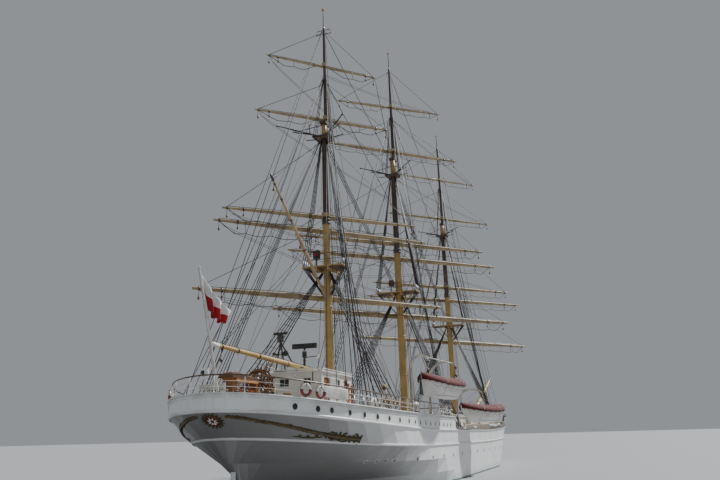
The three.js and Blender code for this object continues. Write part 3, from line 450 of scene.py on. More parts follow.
# A store of faces that becomes one piece. Points are in the ship's metres until then.
class Shape:
    def __init__(self):
        self.points, self.faces, self.looks, self.smooth = [], [], [], []

    def put(self, points, faces, look=0, smooth=True):
        base = len(self.points)
        self.points.extend(tuple(p) for p in points)
        for face in faces:
            self.faces.append([base + i for i in face])
            self.looks.append(look)
            self.smooth.append(smooth)

    def tube(self, path, radius, sides=5, look=0, loop=False):
        path = [Vector(p) for p in path]
        count = len(path)
        radii = radius if isinstance(radius, (list, tuple)) else [radius] * count
        points, faces, side = [], [], None
        for i, here in enumerate(path):
            before = path[i - 1] if loop or i else here
            after = path[(i + 1) % count] if loop or i + 1 < count else here
            ahead = (after - before).normalized()
            side = ahead.orthogonal() if side is None else side - ahead * side.dot(ahead)
            side.normalize()
            over = ahead.cross(side)
            for k in range(sides):
                turn = 2 * pi * k / sides
                points.append(here + (side * cos(turn) + over * sin(turn)) * radii[i])
        for i in range(count if loop else count - 1):
            j = (i + 1) % count
            for k in range(sides):
                n = (k + 1) % sides
                faces.append((i * sides + k, i * sides + n, j * sides + n, j * sides + k))
        if not loop:
            faces.append(tuple(reversed(range(sides))))
            faces.append(tuple((count - 1) * sides + k for k in range(sides)))
        self.put(points, faces, look)

    def box(self, centre, size, look=0, turn=None):
        corners = [Vector((x * size[0], y * size[1], z * size[2])) / 2 for x in (-1, 1) for y in (-1, 1)
                for z in (-1, 1)]
        if turn is not None:
            corners = [turn @ c for c in corners]
        faces = [(0, 1, 3, 2), (4, 6, 7, 5), (0, 4, 5, 1), (2, 3, 7, 6), (0, 2, 6, 4), (1, 5, 7, 3)]
        self.put([c + Vector(centre) for c in corners], faces, look, False)

    # A body turned about an axis from rows of distance along it and radius.
    def turned(self, place, axis, rows, sides=16, look=0):
        axis = Vector(axis).normalized()
        side = axis.orthogonal().normalized()
        over = axis.cross(side)
        points, faces = [], []
        for along, radius in rows:
            for k in range(sides):
                turn = 2 * pi * k / sides
                spoke = (side * cos(turn) + over * sin(turn)) * max(radius, 0.0006)
                points.append(Vector(place) + axis * along + spoke)
        for i in range(len(rows) - 1):
            for k in range(sides):
                n = (k + 1) % sides
                faces.append((i * sides + k, i * sides + n, (i + 1) * sides + n, (i + 1) * sides + k))
        faces.append(tuple(reversed(range(sides))))
        faces.append(tuple((len(rows) - 1) * sides + k for k in range(sides)))
        self.put(points, faces, look)

    def upright(self, place, rows, sides=16, look=0):
        self.turned(place, (0, 0, 1), rows, sides, look)

    # A flat outline given some depth.
    def slab(self, outline, depth, look=0):
        count = len(outline)
        depth = Vector(depth)
        points = [Vector(p) for p in outline] + [Vector(p) + depth for p in outline]
        faces = [tuple(reversed(range(count))), tuple(range(count, 2 * count))]
        faces += [(i, (i + 1) % count, count + (i + 1) % count, count + i) for i in range(count)]
        self.put(points, faces, look, False)

    # A board between a lower and an upper edge, given some depth.
    def strip(self, lower, upper, depth, look=0, smooth=False):
        n = len(lower)
        depth = Vector(depth)
        edges = [[Vector(p) for p in lower], [Vector(p) for p in upper]]
        points = edges[0] + edges[1] + [p + depth for p in edges[1]] + [p + depth for p in edges[0]]
        faces = []
        for i in range(n - 1):
            faces += [(a * n + i, a * n + i + 1, b * n + i + 1, b * n + i) for a,
                    b in ((0, 1), (1, 2), (2, 3), (3, 0))]
        faces += [(0, n, 2 * n, 3 * n), (n - 1, 4 * n - 1, 3 * n - 1, 2 * n - 1)]
        self.put(points, faces, look, smooth)

    # Closed rings of equal count joined into one body with flat ends.
    def loft(self, rings, look=0, smooth=False):
        sides, points, faces = len(rings[0]), [], []
        for ring in rings:
            points += ring
        for i in range(len(rings) - 1):
            for k in range(sides):
                n = (k + 1) % sides
                faces.append((i * sides + k, i * sides + n, (i + 1) * sides + n, (i + 1) * sides + k))
        faces += [tuple(reversed(range(sides))), tuple((len(rings) - 1) * sides + k for k in range(sides))]
        self.put(points, faces, look, smooth)

    # A profile of (out, up) carried along a path, out being to the left of the way it runs.
    def sweep(self, path, profile, look=0, loop=False, smooth=False):
        path = [Vector(p) for p in path]
        count, sides = len(path), len(profile)
        points, faces = [], []
        for i, here in enumerate(path):
            before = path[i - 1] if loop or i else here
            after = path[(i + 1) % count] if loop or i + 1 < count else here
            way = after - before
            left = Vector((-way.y, way.x, 0)).normalized()
            points += [here + left * out + upBy(up) for out, up in profile]
        for i in range(count if loop else count - 1):
            j = (i + 1) % count
            for k in range(sides):
                n = (k + 1) % sides
                faces.append((i * sides + k, i * sides + n, j * sides + n, j * sides + k))
        if not loop:
            faces.append(tuple(reversed(range(sides))))
            faces.append(tuple((count - 1) * sides + k for k in range(sides)))
        self.put(points, faces, look, smooth)

    def piece(self, name, *looks, rides="ship", bevel=0.0):
        mesh = bpy.data.meshes.new(name)
        mesh.from_pydata([[c * modelScale for c in p] for p in self.points], [], self.faces)
        mesh.polygons.foreach_set("material_index", self.looks)
        mesh.polygons.foreach_set("use_smooth", self.smooth)
        for look in looks:
            mesh.materials.append(finishes[look])
        tidy = bmesh.new()
        tidy.from_mesh(mesh)
        bmesh.ops.recalc_face_normals(tidy, faces=tidy.faces)
        tidy.to_mesh(mesh)
        tidy.free()
        body = bpy.data.objects.new(name, mesh)
        bpy.context.scene.collection.objects.link(body)
        if bevel:
            edge = body.modifiers.new("softEdges", "BEVEL")
            edge.width, edge.segments, edge.limit_method = bevel * modelScale, 2, "ANGLE"
        if rides:
            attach(body, rides)
        return body


# The ship's own lines: heights amidships, their rise aft with its power, and their rise forward.
sheerLines = {"lower": (2.93, 0.96, 3.3, 1.0), "upper": (4.04, 1.02, 3.2, 1.4), "rail": (5.05, 0.80, 5.0, 1.9)}
breaks = {"poop": -9.2, "forecastle": 25.0}
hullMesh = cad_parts["hull"].data
hullTree = BVHTree.FromPolygons([v.co for v in hullMesh.vertices], [p.vertices for p in hullMesh.polygons])


def sheerAt(line, x):
    height, aft, power, fore = sheerLines[line]
    return height + aft * max(0, (-6 - x) / 33) ** power + fore * max(0, (x - 4) / 35) ** 2


def bulwarkTop(x):
    return sheerAt("upper" if breaks["poop"] < x < breaks["forecastle"] else "rail", x)


# Where the side of the hull stands at a length and a height, port with sign 1 and starboard with -1.
def sideAt(x, z, sign):
    start = Vector((x, sign * 12, z)) * modelScale
    place = hullTree.ray_cast(start, Vector((0, -sign, 0)))[0]
    return Vector((x, sign * 6.2, z)) if place is None else place / modelScale


# The hull's outline along one of its lines, from the starboard side round the stern to port.
def hullOutline(lineAt, fore, lift=0.0, step=0.9, out=0.0):
    centre = -33.0
    count = max(2, int((fore - centre) / step))
    ahead = [centre + (fore - centre) * i / count for i in range(count, 0, -1)]
    starboard = [sideAt(x, lineAt(x) + lift, -1) for x in ahead]
    stern = []
    for k in range(25):
        turn = radians(-90 - 180 * k / 24)
        way = Vector((cos(turn), sin(turn), 0))
        z = lineAt(centre - 3)
        for _ in range(3):
            hit = hullTree.ray_cast((Vector((centre, 0, z + lift)) + way * 14) * modelScale, -way)[0]
            if hit is not None:
                z = lineAt(hit.x / modelScale)
        if hit is not None:
            stern.append(hit / modelScale)
    port = [Vector((p.x, -p.y, p.z)) for p in reversed(starboard)]
    path = starboard + stern + port
    if not out:
        return path
    moved = []
    for i, here in enumerate(path):
        way = path[min(i + 1, len(path) - 1)] - path[max(i - 1, 0)]
        moved.append(here + Vector((-way.y, way.x, 0)).normalized() * out)
    return moved


# Standing rigging: each mast by its heights and radii, and the feet of its shrouds and backstays.
masts = {
    "mizzen": {"x": -22.15, "rake": 2.11, "foot": 5.08, "top": 15.79, "cap": 19.5, "cross": 26.4, "head": 27.8,
               "pole": 36.3, "truck": 38.1, "radii": (0.30, 0.26, 0.19, 0.17, 0.09), "topHalf": 1.6, "hounds": 31.6},
    "main": {"x": -2.2, "rake": 2.37, "foot": 3.13, "top": 17.61, "cap": 22.1, "cross": 30.4, "head": 32.4,
             "pole": 43.1, "truck": 45.1, "radii": (0.39, 0.34, 0.23, 0.20, 0.10), "topHalf": 2.1, "hounds": 37.2},
    "fore": {"x": 22.57, "rake": 3.47, "foot": 3.42, "top": 17.73, "cap": 21.9, "cross": 30.3, "head": 32.1,
             "pole": 43.3, "truck": 45.3, "radii": (0.39, 0.34, 0.23, 0.20, 0.10), "topHalf": 2.1, "hounds": 37.2},
}
topgallantAhead = 0.47
shroudSets = {
    "mizzen": {"feet": (-24.6, -28.6), "count": 5, "topmast": 4, "topgallant": 3, "backstays": (-29.4, -32.0)},
    "main": {"feet": (-4.4, -9.0), "count": 6, "topmast": 5, "topgallant": 3, "backstays": (-9.9, -13.2)},
    "fore": {"feet": (20.7, 16.2), "count": 6, "topmast": 5, "topgallant": 3, "backstays": (15.3, 11.6)},
}
rigging = {"shroud": 0.032, "ratline": 0.016, "ratlineStep": 0.40, "backstay": 0.026, "screw": 0.055,
        "screwLength": 0.75, "running": 0.016, "lift": 0.02}


def mastAt(name, z, ahead=0.0, side=0.0):
    mast = masts[name]
    return Vector((mast["x"] - z * tan(radians(mast["rake"])) + ahead, side, z))


def radiusAt(name, z):
    mast = masts[name]
    foot, cap, cross, heel, truck = mast["radii"]
    if z <= mast["cap"]:
        return foot + (cap - foot) * (z - mast["foot"]) / (mast["cap"] - mast["foot"])
    if z < mast["cross"]:
        return cap + (cross - cap) * (z - mast["cap"]) / (mast["cross"] - mast["cap"])
    return heel + (truck - heel) * (z - mast["cross"]) / (mast["pole"] - mast["cross"])


# Rungs across a fan of shrouds, each fan being a list of (upper end, lower end).
def ratlines(shape, fan, low, high, step, look=1):
    z = low
    while z < high:
        row = []
        for upper, lower in fan:
            share = (z - lower.z) / (upper.z - lower.z)
            if 0 < share < 1:
                row.append(lower.lerp(upper, share))
        if len(row) > 1:
            shape.tube([row[0], row[-1]], rigging["ratline"], 4, look)
        z += step


def railFoot(x, sign, inset=0.22):
    z = bulwarkTop(x) - 0.12
    side = sideAt(x, z - 0.1, sign)
    return Vector((x, side.y - sign * inset, z))


def rigMast(name):
    mast, plan = masts[name], shroudSets[name]
    size = rigging["shroud"]
    for side, sign in bothSides:
        shape = Shape()
        fan = []
        hound = mast["top"] - 0.35
        for k in range(plan["count"]):
            share = k / (plan["count"] - 1)
            foot = railFoot(plan["feet"][0] + (plan["feet"][1] - plan["feet"][0]) * share, sign)
            head = mastAt(name, hound, -0.06 - 0.26 * share, sign * (radiusAt(name, hound) + 0.04))
            way = (head - foot).normalized()
            shape.tube([foot + way * rigging["screwLength"], head], size, 5)
            shape.tube([foot, foot + way * rigging["screwLength"]], rigging["screw"], 6, 2)
            fan.append((head, foot))
        ratlines(shape, fan, fan[0][1].z + 1.3, hound - 1.2, rigging["ratlineStep"])
        first, last = fan[0], fan[-1]
        bar = [lower.lerp(upper, 0.11) for upper, lower in (first, last)]
        shape.tube([bar[0] + (bar[0] - bar[1]) * 0.04, bar[1] + (bar[1] - bar[0]) * 0.04], 0.035, 6, 2)
        # Futtock shrouds under the top, then the topmast's shrouds above it.
        fan, under = [], []
        for k in range(plan["topmast"]):
            share = k / (plan["topmast"] - 1)
            rim = mastAt(name, mast["top"] + 0.12, 0.08 - 1.08 * share, sign * (mast["topHalf"] - 0.06))
            below = mastAt(name, mast["top"] - 2.0, 0.02 - 0.26 * share,
                    sign * (radiusAt(name, mast["top"] - 2) + 0.03))
            head = mastAt(name, mast["cross"] - 0.3, 0.05 - 0.2 * share, sign * (mast["radii"][2] + 0.03))
            shape.tube([rim + upBy(0.45), head], size * 0.9, 5)
            shape.tube([rim + upBy(-0.2), rim + upBy(0.45)], rigging["screw"] * 0.8, 6, 2)
            shape.tube([below, rim - upBy(0.16)], size * 0.9, 5)
            fan.append((head, rim))
            under.append((rim - upBy(0.16), below))
        ratlines(shape, fan, mast["top"] + 0.9, mast["cross"] - 0.9, rigging["ratlineStep"])
        ratlines(shape, under, mast["top"] - 1.7, mast["top"] - 0.3, rigging["ratlineStep"])
        fan = []
        for k in range(plan["topgallant"]):
            share = k / (plan["topgallant"] - 1)
            rim = mastAt(name, mast["cross"] + 0.02, 0.2 - 0.72 * share, sign * 0.72)
            head = mastAt(name, mast["hounds"], topgallantAhead + 0.05 - 0.1 * share,
                    sign * (radiusAt(name, mast["hounds"]) + 0.02))
            shape.tube([rim, head], size * 0.7, 5)
            fan.append((head, rim))
        ratlines(shape, fan, mast["cross"] + 0.6, mast["hounds"] - 0.5, rigging["ratlineStep"])
        shape.piece(f"shrouds_{name}_{side}", "wireRope", "darkRope", "galvanised")


def backstays(name):
    mast, plan = masts[name], shroudSets[name]
    shape = Shape()
    heads = [(mast["cross"] - 0.15, 0), (mast["cross"] - 0.15, 0), (mast["cross"] - 0.15, 0),
             (mast["hounds"] + 0.05, topgallantAhead), (mast["hounds"] + 0.05, topgallantAhead),
             (mast["pole"] - 0.4, topgallantAhead)]
    for sign in (-1, 1):
        for k, (z, ahead) in enumerate(heads):
            share = k / (len(heads) - 1)
            foot = railFoot(plan["backstays"][0] + (plan["backstays"][1] - plan["backstays"][0]) * share, sign)
            head = mastAt(name, z, ahead - 0.12, sign * (radiusAt(name, z) + 0.02))
            way = (head - foot).normalized()
            shape.tube([foot, foot + way * rigging["screwLength"]], rigging["screw"], 6, 1)
            shape.tube([foot + way * rigging["screwLength"], head], rigging["backstay"], 5)
    shape.piece(f"backstays_{name}", "wireRope", "galvanised")


# Stays along the centreline above the main ones, and a second wire beside each main one.
stayPlan = {
    "mizzen_topgallant_stay": (("mizzen", 31.6, 0.47), ("main", 26.5, -0.35)),
    "mizzen_royal_stay": (("mizzen", 36.0, 0.47), ("main", 31.5, -0.35)),
    "main_topgallant_stay": (("main", 37.2, 0.47), ("fore", 27.5, -0.35)),
    "main_royal_stay": (("main", 42.7, 0.47), ("fore", 33.4, 0.1)),
}
foreStays = {"fore_inner_jib_stay": (31.2, 0.35, 50.0), "fore_topgallant_stay": (37.2, 0.47, 52.6),
        "fore_royal_stay": (42.8, 0.47, 54.7)}
bowsprit = {"heel": (36.6, 6.9), "cap": (55.0, 12.95), "radii": (0.34, 0.13)}


def bowspritAt(x, lift=0.0, side=0.0):
    share = (x - bowsprit["heel"][0]) / (bowsprit["cap"][0] - bowsprit["heel"][0])
    z = bowsprit["heel"][1] + share * (bowsprit["cap"][1] - bowsprit["heel"][1])
    return Vector((x, side, z + lift))


def stays():
    shape = Shape()
    for (upperMast, high, ahead), (lowerMast, low, abaft) in stayPlan.values():
        upper = mastAt(upperMast, high, ahead + radiusAt(upperMast, high) + 0.02)
        lower = mastAt(lowerMast, low, abaft)
        shape.tube([upper, lower], 0.026, 5)
    for high, ahead, x in foreStays.values():
        upper = mastAt("fore", high, ahead + radiusAt("fore", high) + 0.02)
        shape.tube([upper, bowspritAt(x, 0.22)], 0.026, 5)
    twins = (((-22.28, 15.2), (-3.5, 3.1)), ((-22.75, 26.0), (-4.35, 17.95)), ((-2.35, 17.05), (20.4, 3.5)),
             ((-3.05, 29.9), (20.1, 18.1)), ((22.05, 18.45), (43.6, 9.62)), ((21.6, 31.65), (46.9, 10.65)))
    for (x1, z1), (x2, z2) in twins:
        for side in (-0.14, 0.14):
            shape.tube([(x1, side, z1), (x2, side, z2)], 0.03, 5)
    shape.piece("stays", "wireRope")


def bowspritRigging():
    shape = Shape()
    for x, stem in ((45.0, (36.35, 0, 2.0)), (54.4, (36.05, 0, 1.0))):
        shape.tube([stem, bowspritAt(x, -0.28)], 0.045, 6, 1)
    for x, reach in ((45.0, 33.2), (54.4, 32.0)):
        for sign in (-1, 1):
            anchorage = sideAt(reach, sheerAt("upper", reach) + 0.3, sign)
            shape.tube([anchorage, bowspritAt(x, -0.05, sign * 0.14)], 0.03, 5)
    for sign in (-1, 1):
        path = [bowspritAt(39.4 + 15.0 * t, -0.75 - 0.35 * sin(pi * t), sign * (0.75 - 0.5 * t)) for t in
                [i / 20 for i in range(21)]]
        shape.tube(path, 0.022, 5)
        for k in range(2, 20, 3):
            shape.tube([path[k], bowspritAt(path[k].x, 0.1, sign * 0.16)], 0.016, 4)
    for x in (41.0, 45.0, 49.4, 54.4):
        share = (x - 36.6) / 18.4
        radius = 0.34 - 0.21 * share + 0.02
        way = (bowspritAt(55) - bowspritAt(45)).normalized()
        shape.turned(bowspritAt(x) - way * 0.1, way, [(0, radius), (0, radius + 0.03), (0.2, radius + 0.03),
                (0.2, radius)], 16, 1)
    shape.piece("bowsprit_rigging", "wireRope", "darkMetal")


for name in masts:
    rigMast(name)
    backstays(name)
stays()
bowspritRigging()
print("standing rigging made")

# Yards in their own frames: pivot height, half length, radius and brace of each, on the three masts.
yards = {"course": {"hung": "truss", "z": (13.70, 15.47, 15.71), "half": (10.32, 13.77, 13.77),
        "r": (0.24, 0.30, 0.30), "brace": (47.5, 45.8, 49.7)}, "lower_topsail": {"hung": "truss",
        "z": (18.91, 21.48, 21.35), "half": (8.80, 11.94, 11.94), "r": (0.20, 0.26, 0.26),
        "brace": (44.3, 42.3, 43.1)}, "upper_topsail": {"hung": "parral", "z": (19.98, 23.02, 23.09),
        "half": (7.83, 10.84, 10.84), "r": (0.18, 0.24, 0.24), "brace": (41.0, 42.0, 44.6)},
        "topgallant": {"hung": "parral", "z": (28.22, 33.39, 32.93), "half": (5.70, 8.18, 8.18),
        "r": (0.14, 0.18, 0.18), "brace": (41.8, 42.0, 43.2)}, "royal": {"hung": "parral",
        "z": (32.93, 38.57, 38.59), "half": (4.82, 6.08, 6.08), "r": (0.11, 0.13, 0.13),
        "brace": (44.0, 38.1, 43.7)},}
trussReach, trussArm = (0.5, 0.62, 0.62), 0.42
mastOrder = ("mizzen", "main", "fore")


class YardFrame:
    def __init__(self, mastName, yardName):
        row, index = yards[yardName], mastOrder.index(mastName)
        self.half, self.radius, self.z = row["half"][index], row["r"][index], row["z"][index]
        rake = radians(masts[mastName]["rake"])
        if row["hung"] == "truss":
            ahead, self.ahead = trussReach[index], trussArm
        else:
            ahead = 0 if yardName == "upper_topsail" else topgallantAhead
            self.ahead = radiusAt(mastName, self.z - 0.2) + 0.1 + self.radius
        along = (self.z - ahead * sin(rake)) / cos(rake)
        self.pivot = Vector((masts[mastName]["x"] + ahead * cos(rake) - along * sin(rake), 0, self.z))
        self.turn = Matrix.Rotation(radians(row["brace"][index]), 3, "Z")
        self.body = f"{mastName}_{yardName}"

    # A point ahead of the spar, across it (port positive) and above it.
    def at(self, across, up=0.0, ahead=0.0):
        return self.pivot + self.turn @ Vector((self.ahead + ahead, across, up))

    def radiusOn(self, across):
        share = abs(across) / self.half
        marks = [(0, 1), (0.45, 0.86), (0.86, 0.55), (1, 0.42)]
        for (a, first), (b, second) in zip(marks, marks[1:]):
            if share <= b:
                return self.radius * (first + (second - first) * (share - a) / (b - a))
        return self.radius * 0.42


yardGear = {"drop": 0.95, "stirrupEvery": 2.1, "footrope": 0.024, "stirrup": 0.016, "jackstay": 0.022, "band": 0.035}


def dressYard(mastName, yardName):
    yard = YardFrame(mastName, yardName)
    shape = Shape()
    drop = yardGear["drop"] * (0.8 if yardName in ("royal", "topgallant") else 1.0)
    for sign in (-1, 1):
        # The jackstay along the top, held by short eyes.
        count = max(5, int(yard.half / 0.9))
        rod = [yard.at(sign * (0.25 + (yard.half * 0.95 - 0.25) * i / count), 0, 0.04) for i in range(count + 1)]
        rod = [p + upBy(yard.radiusOn((0.25 + (yard.half * 0.95 - 0.25) * i / count)) + 0.07) for i,
                p in enumerate(rod)]
        shape.tube(rod, yardGear["jackstay"], 5, 1)
        for p in rod:
            shape.tube([p, p - upBy(0.09)], 0.02, 4, 1)
        # The footrope hangs abaft the yard in bights between its stirrups.
        inner, outer = 0.5, yard.half * 0.965
        bights = max(2, round((outer - inner) / yardGear["stirrupEvery"]))
        path = []
        for k in range(bights * 5 + 1):
            share = k / (bights * 5)
            across = inner + (outer - inner) * share
            local = (k % 5) / 5
            hang = 0 if k in (0, bights * 5) else drop * (0.9 + 0.16 * sin(pi * local))
            ends = min(1.0, min(share, 1 - share) * bights * 1.6)
            path.append(yard.at(sign * across, -hang * ends, -0.22 * ends))
        shape.tube(path, yardGear["footrope"], 5)
        for k in range(1, bights):
            foot = path[k * 5]
            across = inner + (outer - inner) * k / bights
            shape.tube([foot, yard.at(sign * across, yard.radiusOn(across) * 0.4, -yard.radiusOn(across) - 0.02)],
                    yardGear["stirrup"], 4)
        # Bands and short pendants with their blocks near the yardarm.
        way = yard.turn @ Vector((0, sign, 0))
        for at in (0.955, 0.8):
            place, radius = yard.at(sign * yard.half * at), yard.radiusOn(yard.half * at)
            rows = [(-0.05, radius), (-0.05, radius + yardGear["band"]), (0.05, radius + yardGear["band"]),
                    (0.05, radius)]
            shape.turned(place, way, rows, 12, 1)
        for at, length, size in ((0.955, 0.55, 0.11), (0.8, 0.32, 0.09)):
            top = yard.at(sign * yard.half * at, -yard.radiusOn(yard.half * at))
            block = top - upBy(length)
            shape.tube([top, block], 0.016, 4)
            shape.upright(block - upBy(size * 1.2), [(0, 0.02), (size * 0.4, size * 0.62), (size, size * 0.75),
                    (size * 1.8, size * 0.55), (size * 2.2, 0.02)], 8, 2)
    shape.piece(f"gear_{mastName}_{yardName}", "wireRope", "darkMetal", "topBrown", rides=yard.body)
    return yard


# Where the lifts of each yard go on its own mast, and its braces on another mast: mast and height.
liftTops = {"course": "cap", "lower_topsail": None, "upper_topsail": "cross", "topgallant": "hounds", "royal": "pole"}
braceLeads = {
    "mizzen": {"course": ("main", 14.3), "lower_topsail": ("main", 17.2), "upper_topsail": ("main", 20.9),
               "topgallant": ("main", 27.6), "royal": ("main", 31.2)},
    "main": {"course": ("mizzen", 14.5), "lower_topsail": ("mizzen", 15.3), "upper_topsail": ("mizzen", 18.9),
             "topgallant": ("mizzen", 26.0), "royal": ("mizzen", 31.9)},
    "fore": {"course": ("main", 14.6), "lower_topsail": ("main", 17.1), "upper_topsail": ("main", 21.3),
             "topgallant": ("main", 30.0), "royal": ("main", 36.9)},
}


def lifts(mastName, yardName, yard):
    key = liftTops[yardName]
    if key is None:
        return
    z = masts[mastName][key] - 0.35
    ahead = topgallantAhead if key in ("hounds", "pole") else 0.0
    shape = Shape()
    for sign in (-1, 1):
        upper = mastAt(mastName, z, ahead + 0.1, sign * (radiusAt(mastName, z) + 0.03))
        lower = yard.at(sign * yard.half * 0.955, yard.radiusOn(yard.half * 0.955) + 0.02)
        shape.tube([upper.lerp(lower, i / 16) for i in range(17)], rigging["lift"], 5)
    piece = shape.piece(f"lifts_{mastName}_{yardName}", "wireRope", rides=None)
    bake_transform(piece)


def braces(mastName, yardName, yard):
    otherMast, height = braceLeads[mastName][yardName]
    toAft = masts[otherMast]["x"] < masts[mastName]["x"]
    for side, sign in bothSides:
        shape = Shape()
        arm = yard.at(sign * yard.half * 0.955, 0, -yard.radiusOn(yard.half * 0.955))
        pendant = arm + Vector((-0.6 if toAft else 0.6, 0, -0.25))
        far = mastAt(otherMast, height, 0.3 if toAft else -0.3, sign * (radiusAt(otherMast, height) + 0.05))
        for shift in (0, 0.16):
            path = [far.lerp(pendant, i / 24) - upBy(shift + 0.25 * sin(pi * i / 24)) for i in range(25)]
            shape.tube([*path[:-1], pendant] if shift else [*path, arm], rigging["running"], 4)
        piece = shape.piece(f"braces_{mastName}_{yardName}_{side}", "darkRope", rides=None)
        start, end = far.lerp(arm, 0.02) * modelScale, far.lerp(arm, 0.96) * modelScale
        tuple(start)
        tuple(end)
        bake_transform(piece)


for mastName in mastOrder:
    for yardName in yards:
        yard = dressYard(mastName, yardName)
        lifts(mastName, yardName, yard)
        braces(mastName, yardName, yard)
print("yards rigged")


# Mouldings along the sides, the ledge of the poop and the cap rails.
hullTrim = {"upperMoulding": 0.09, "lowerMoulding": 0.08, "fore": 37.0, "ledgeOut": 0.10, "ledgeIn": 0.24,
            "ledgeThick": 0.07, "capOut": 0.08, "capIn": 0.26, "capThick": 0.09}


def hullMouldings():
    trim = hullTrim
    shape = Shape()
    for line, radius in (("lower", trim["lowerMoulding"]), ("upper", trim["upperMoulding"])):
        path = hullOutline(lambda x, line=line: sheerAt(line, x), trim["fore"], -0.02)
        profile = [(radius * cos(radians(a)), radius * sin(radians(a))) for a in range(-100, 101, 25)]
        shape.sweep(path, [(-0.05, -radius)] + profile + [(-0.05, radius)], 0, smooth=True)
    path = hullOutline(lambda x: sheerAt("rail", x), -9.2, -0.16)
    for up, out in ((0.0, 0.035), (0.11, 0.05)):
        lifted = [p + upBy(up) for p in path]
        shape.sweep(lifted, [(-0.04, -0.03), (out, -0.03), (out, 0.03), (-0.04, 0.03)])
    shape.piece("hull_mouldings", "hullTrimWhite")
    ledge = Shape()
    aft = hullOutline(lambda x: sheerAt("rail", x), -9.3, -0.06)
    thick = trim["ledgeThick"]
    section = [(-trim["ledgeIn"], 0.06), (-trim["ledgeIn"], 0.06 + thick), (trim["ledgeOut"], 0.06 + thick),
               (trim["ledgeOut"] + 0.02, 0.06 + thick / 2), (trim["ledgeOut"], 0.06)]
    ledge.sweep(aft, section)
    ledge.piece("poop_ledge", "hullTrimWhite")
    caps = Shape()
    thick = trim["capThick"]
    section = [(-trim["capIn"], 0.01), (-trim["capIn"], thick), (trim["capOut"], thick), (trim["capOut"], 0.01)]
    for sign in (-1, 1):
        for line, start, end in (("upper", -9.1, 24.9), ("rail", 25.1, 38.9)):
            xs = [start + (end - start) * i / 34 for i in range(35)]
            path = [sideAt(x, sheerAt(line, x) - 0.06, sign) + upBy(0.06) for x in xs]
            if sign < 0:
                path = list(reversed(path))
            caps.sweep(path, section)
    caps.piece("cap_rails", "railBrown", bevel=0.01)


# The stern seen from behind: a point at an angle round from right aft, towards starboard when it is positive.
def sternPoint(angle, z):
    turn = radians(180 + angle)
    way = Vector((cos(turn), sin(turn), 0))
    centre = Vector((-31, 0, z))
    place, normal = hullTree.ray_cast((centre + way * 14) * modelScale, -way)[:2]
    return place / modelScale, normal


# Round ports with a rim, a hinged glass and a rigol over them. Rows of length, size and side line.
ports = {"upper": (-36.66, -35.35, -34.4, -32.89, -31.42, -29.83, -28.08, -26.21), "lift": 0.34, "radius": 0.165,
        "small": (-24.25, -22.77, -21.35, -19.8, -18.4, -16.86, -15.41, -13.88, -12.65, -11.3), "smallRadius": 0.15,
        "lower": (-28.23, -27.13, -26.17, -25.06, -21.6, -18.15, -14.6, -10.93, -7.2, -3.4, 0.5, 4.4, 8.3, 12.2,
        16.1, 20.0), "lowerZ": 2.05, "lowerRadius": 0.13, "bow": (26.2, 28.4, 30.6), "bowLift": 0.45}


def onePort(shape, place, normal, radius, rigol=True):
    rows = [(-0.03, radius + 0.035), (0.015, radius + 0.03), (0.022, radius + 0.015), (0.02, radius), (-0.02, radius)]
    shape.turned(place, normal, rows, 20)
    shape.turned(place, normal, [(-0.02, radius + 0.01), (0.008, radius + 0.005), (0.012, radius * 0.5),
            (0.014, 0)], 20, 1)
    if rigol:
        side = upBy(1).cross(normal).normalized()
        up = normal.cross(side)
        arc = [place + normal * 0.045 + (side * cos(radians(a)) + up * sin(radians(a))) * (radius + 0.11)
               for a in range(25, 156, 13)]
        shape.tube(arc, 0.012, 5)


def portholes():
    shape = Shape()
    for sign in (-1, 1):
        rows = [(x, sheerAt("upper", x) + ports["lift"], ports["radius"]) for x in ports["upper"]]
        rows += [(x, sheerAt("upper", x) + ports["lift"] + 0.02, ports["smallRadius"]) for x in ports["small"]]
        rows += [(x, ports["lowerZ"] + 0.0035 * max(0, -x - 12) ** 1.3, ports["lowerRadius"]) for x in ports["lower"]]
        rows += [(x, sheerAt("upper", x) - ports["bowLift"], 0.13) for x in ports["bow"]]
        for x, z, radius in rows:
            start = Vector((x, sign * 12, z)) * modelScale
            place, normal = hullTree.ray_cast(start, Vector((0, -sign, 0)))[:2]
            onePort(shape, place / modelScale, normal, radius, radius > 0.11)
    shape.piece("portholes", "hullTrimWhite", "darkGlass")


# Carved work round the stern: a garland of leaves on a rope from a rosette, down to a scroll, on both sides.
garland = {"marks": ((6, 4.78), (12, 4.68), (20, 4.47), (27.5, 4.32), (36, 4.14), (46, 3.94), (59.5, 3.74),
        (74, 3.60), (90, 3.50)), "leafEvery": 0.15, "leaf": 0.25, "rope": 0.065,
        "rosette": {"z": 4.58, "radius": 0.60}}


def garlandAt(angle):
    marks = garland["marks"]
    for (a, first), (b, second) in zip(marks, marks[1:]):
        if angle <= b:
            share = (angle - a) / (b - a)
            return first + (second - first) * share
    return marks[-1][1]


def leafOn(shape, place, normal, along, length, width, look):
    across = normal.cross(along).normalized()
    rise = normal * (width * 0.32)
    base = place + normal * 0.012
    points = [base - along * length * 0.5, base + across * width * 0.5 + rise * 0.3, base + along * length * 0.5,
              base - across * width * 0.5 + rise * 0.3, base + rise * 1.5, base - normal * 0.03]
    shape.put(points, [(0, 1, 4), (1, 2, 4), (2, 3, 4), (3, 0, 4), (1, 0, 5), (2, 1, 5), (3, 2, 5), (0, 3, 5)],
            look, True)


def scroll(shape, centre, normal, along, radius, turns, thick, look):
    across = normal.cross(along).normalized()
    path, sizes = [], []
    for i in range(int(turns * 16) + 1):
        turn = 2 * pi * i / 16
        reach = radius * (1 - 0.85 * i / (turns * 16))
        path.append(centre + (along * cos(turn) + across * sin(turn)) * reach + normal * 0.03)
        sizes.append(thick * (1 - 0.4 * i / (turns * 16)))
    shape.tube(path, sizes, 6, look)


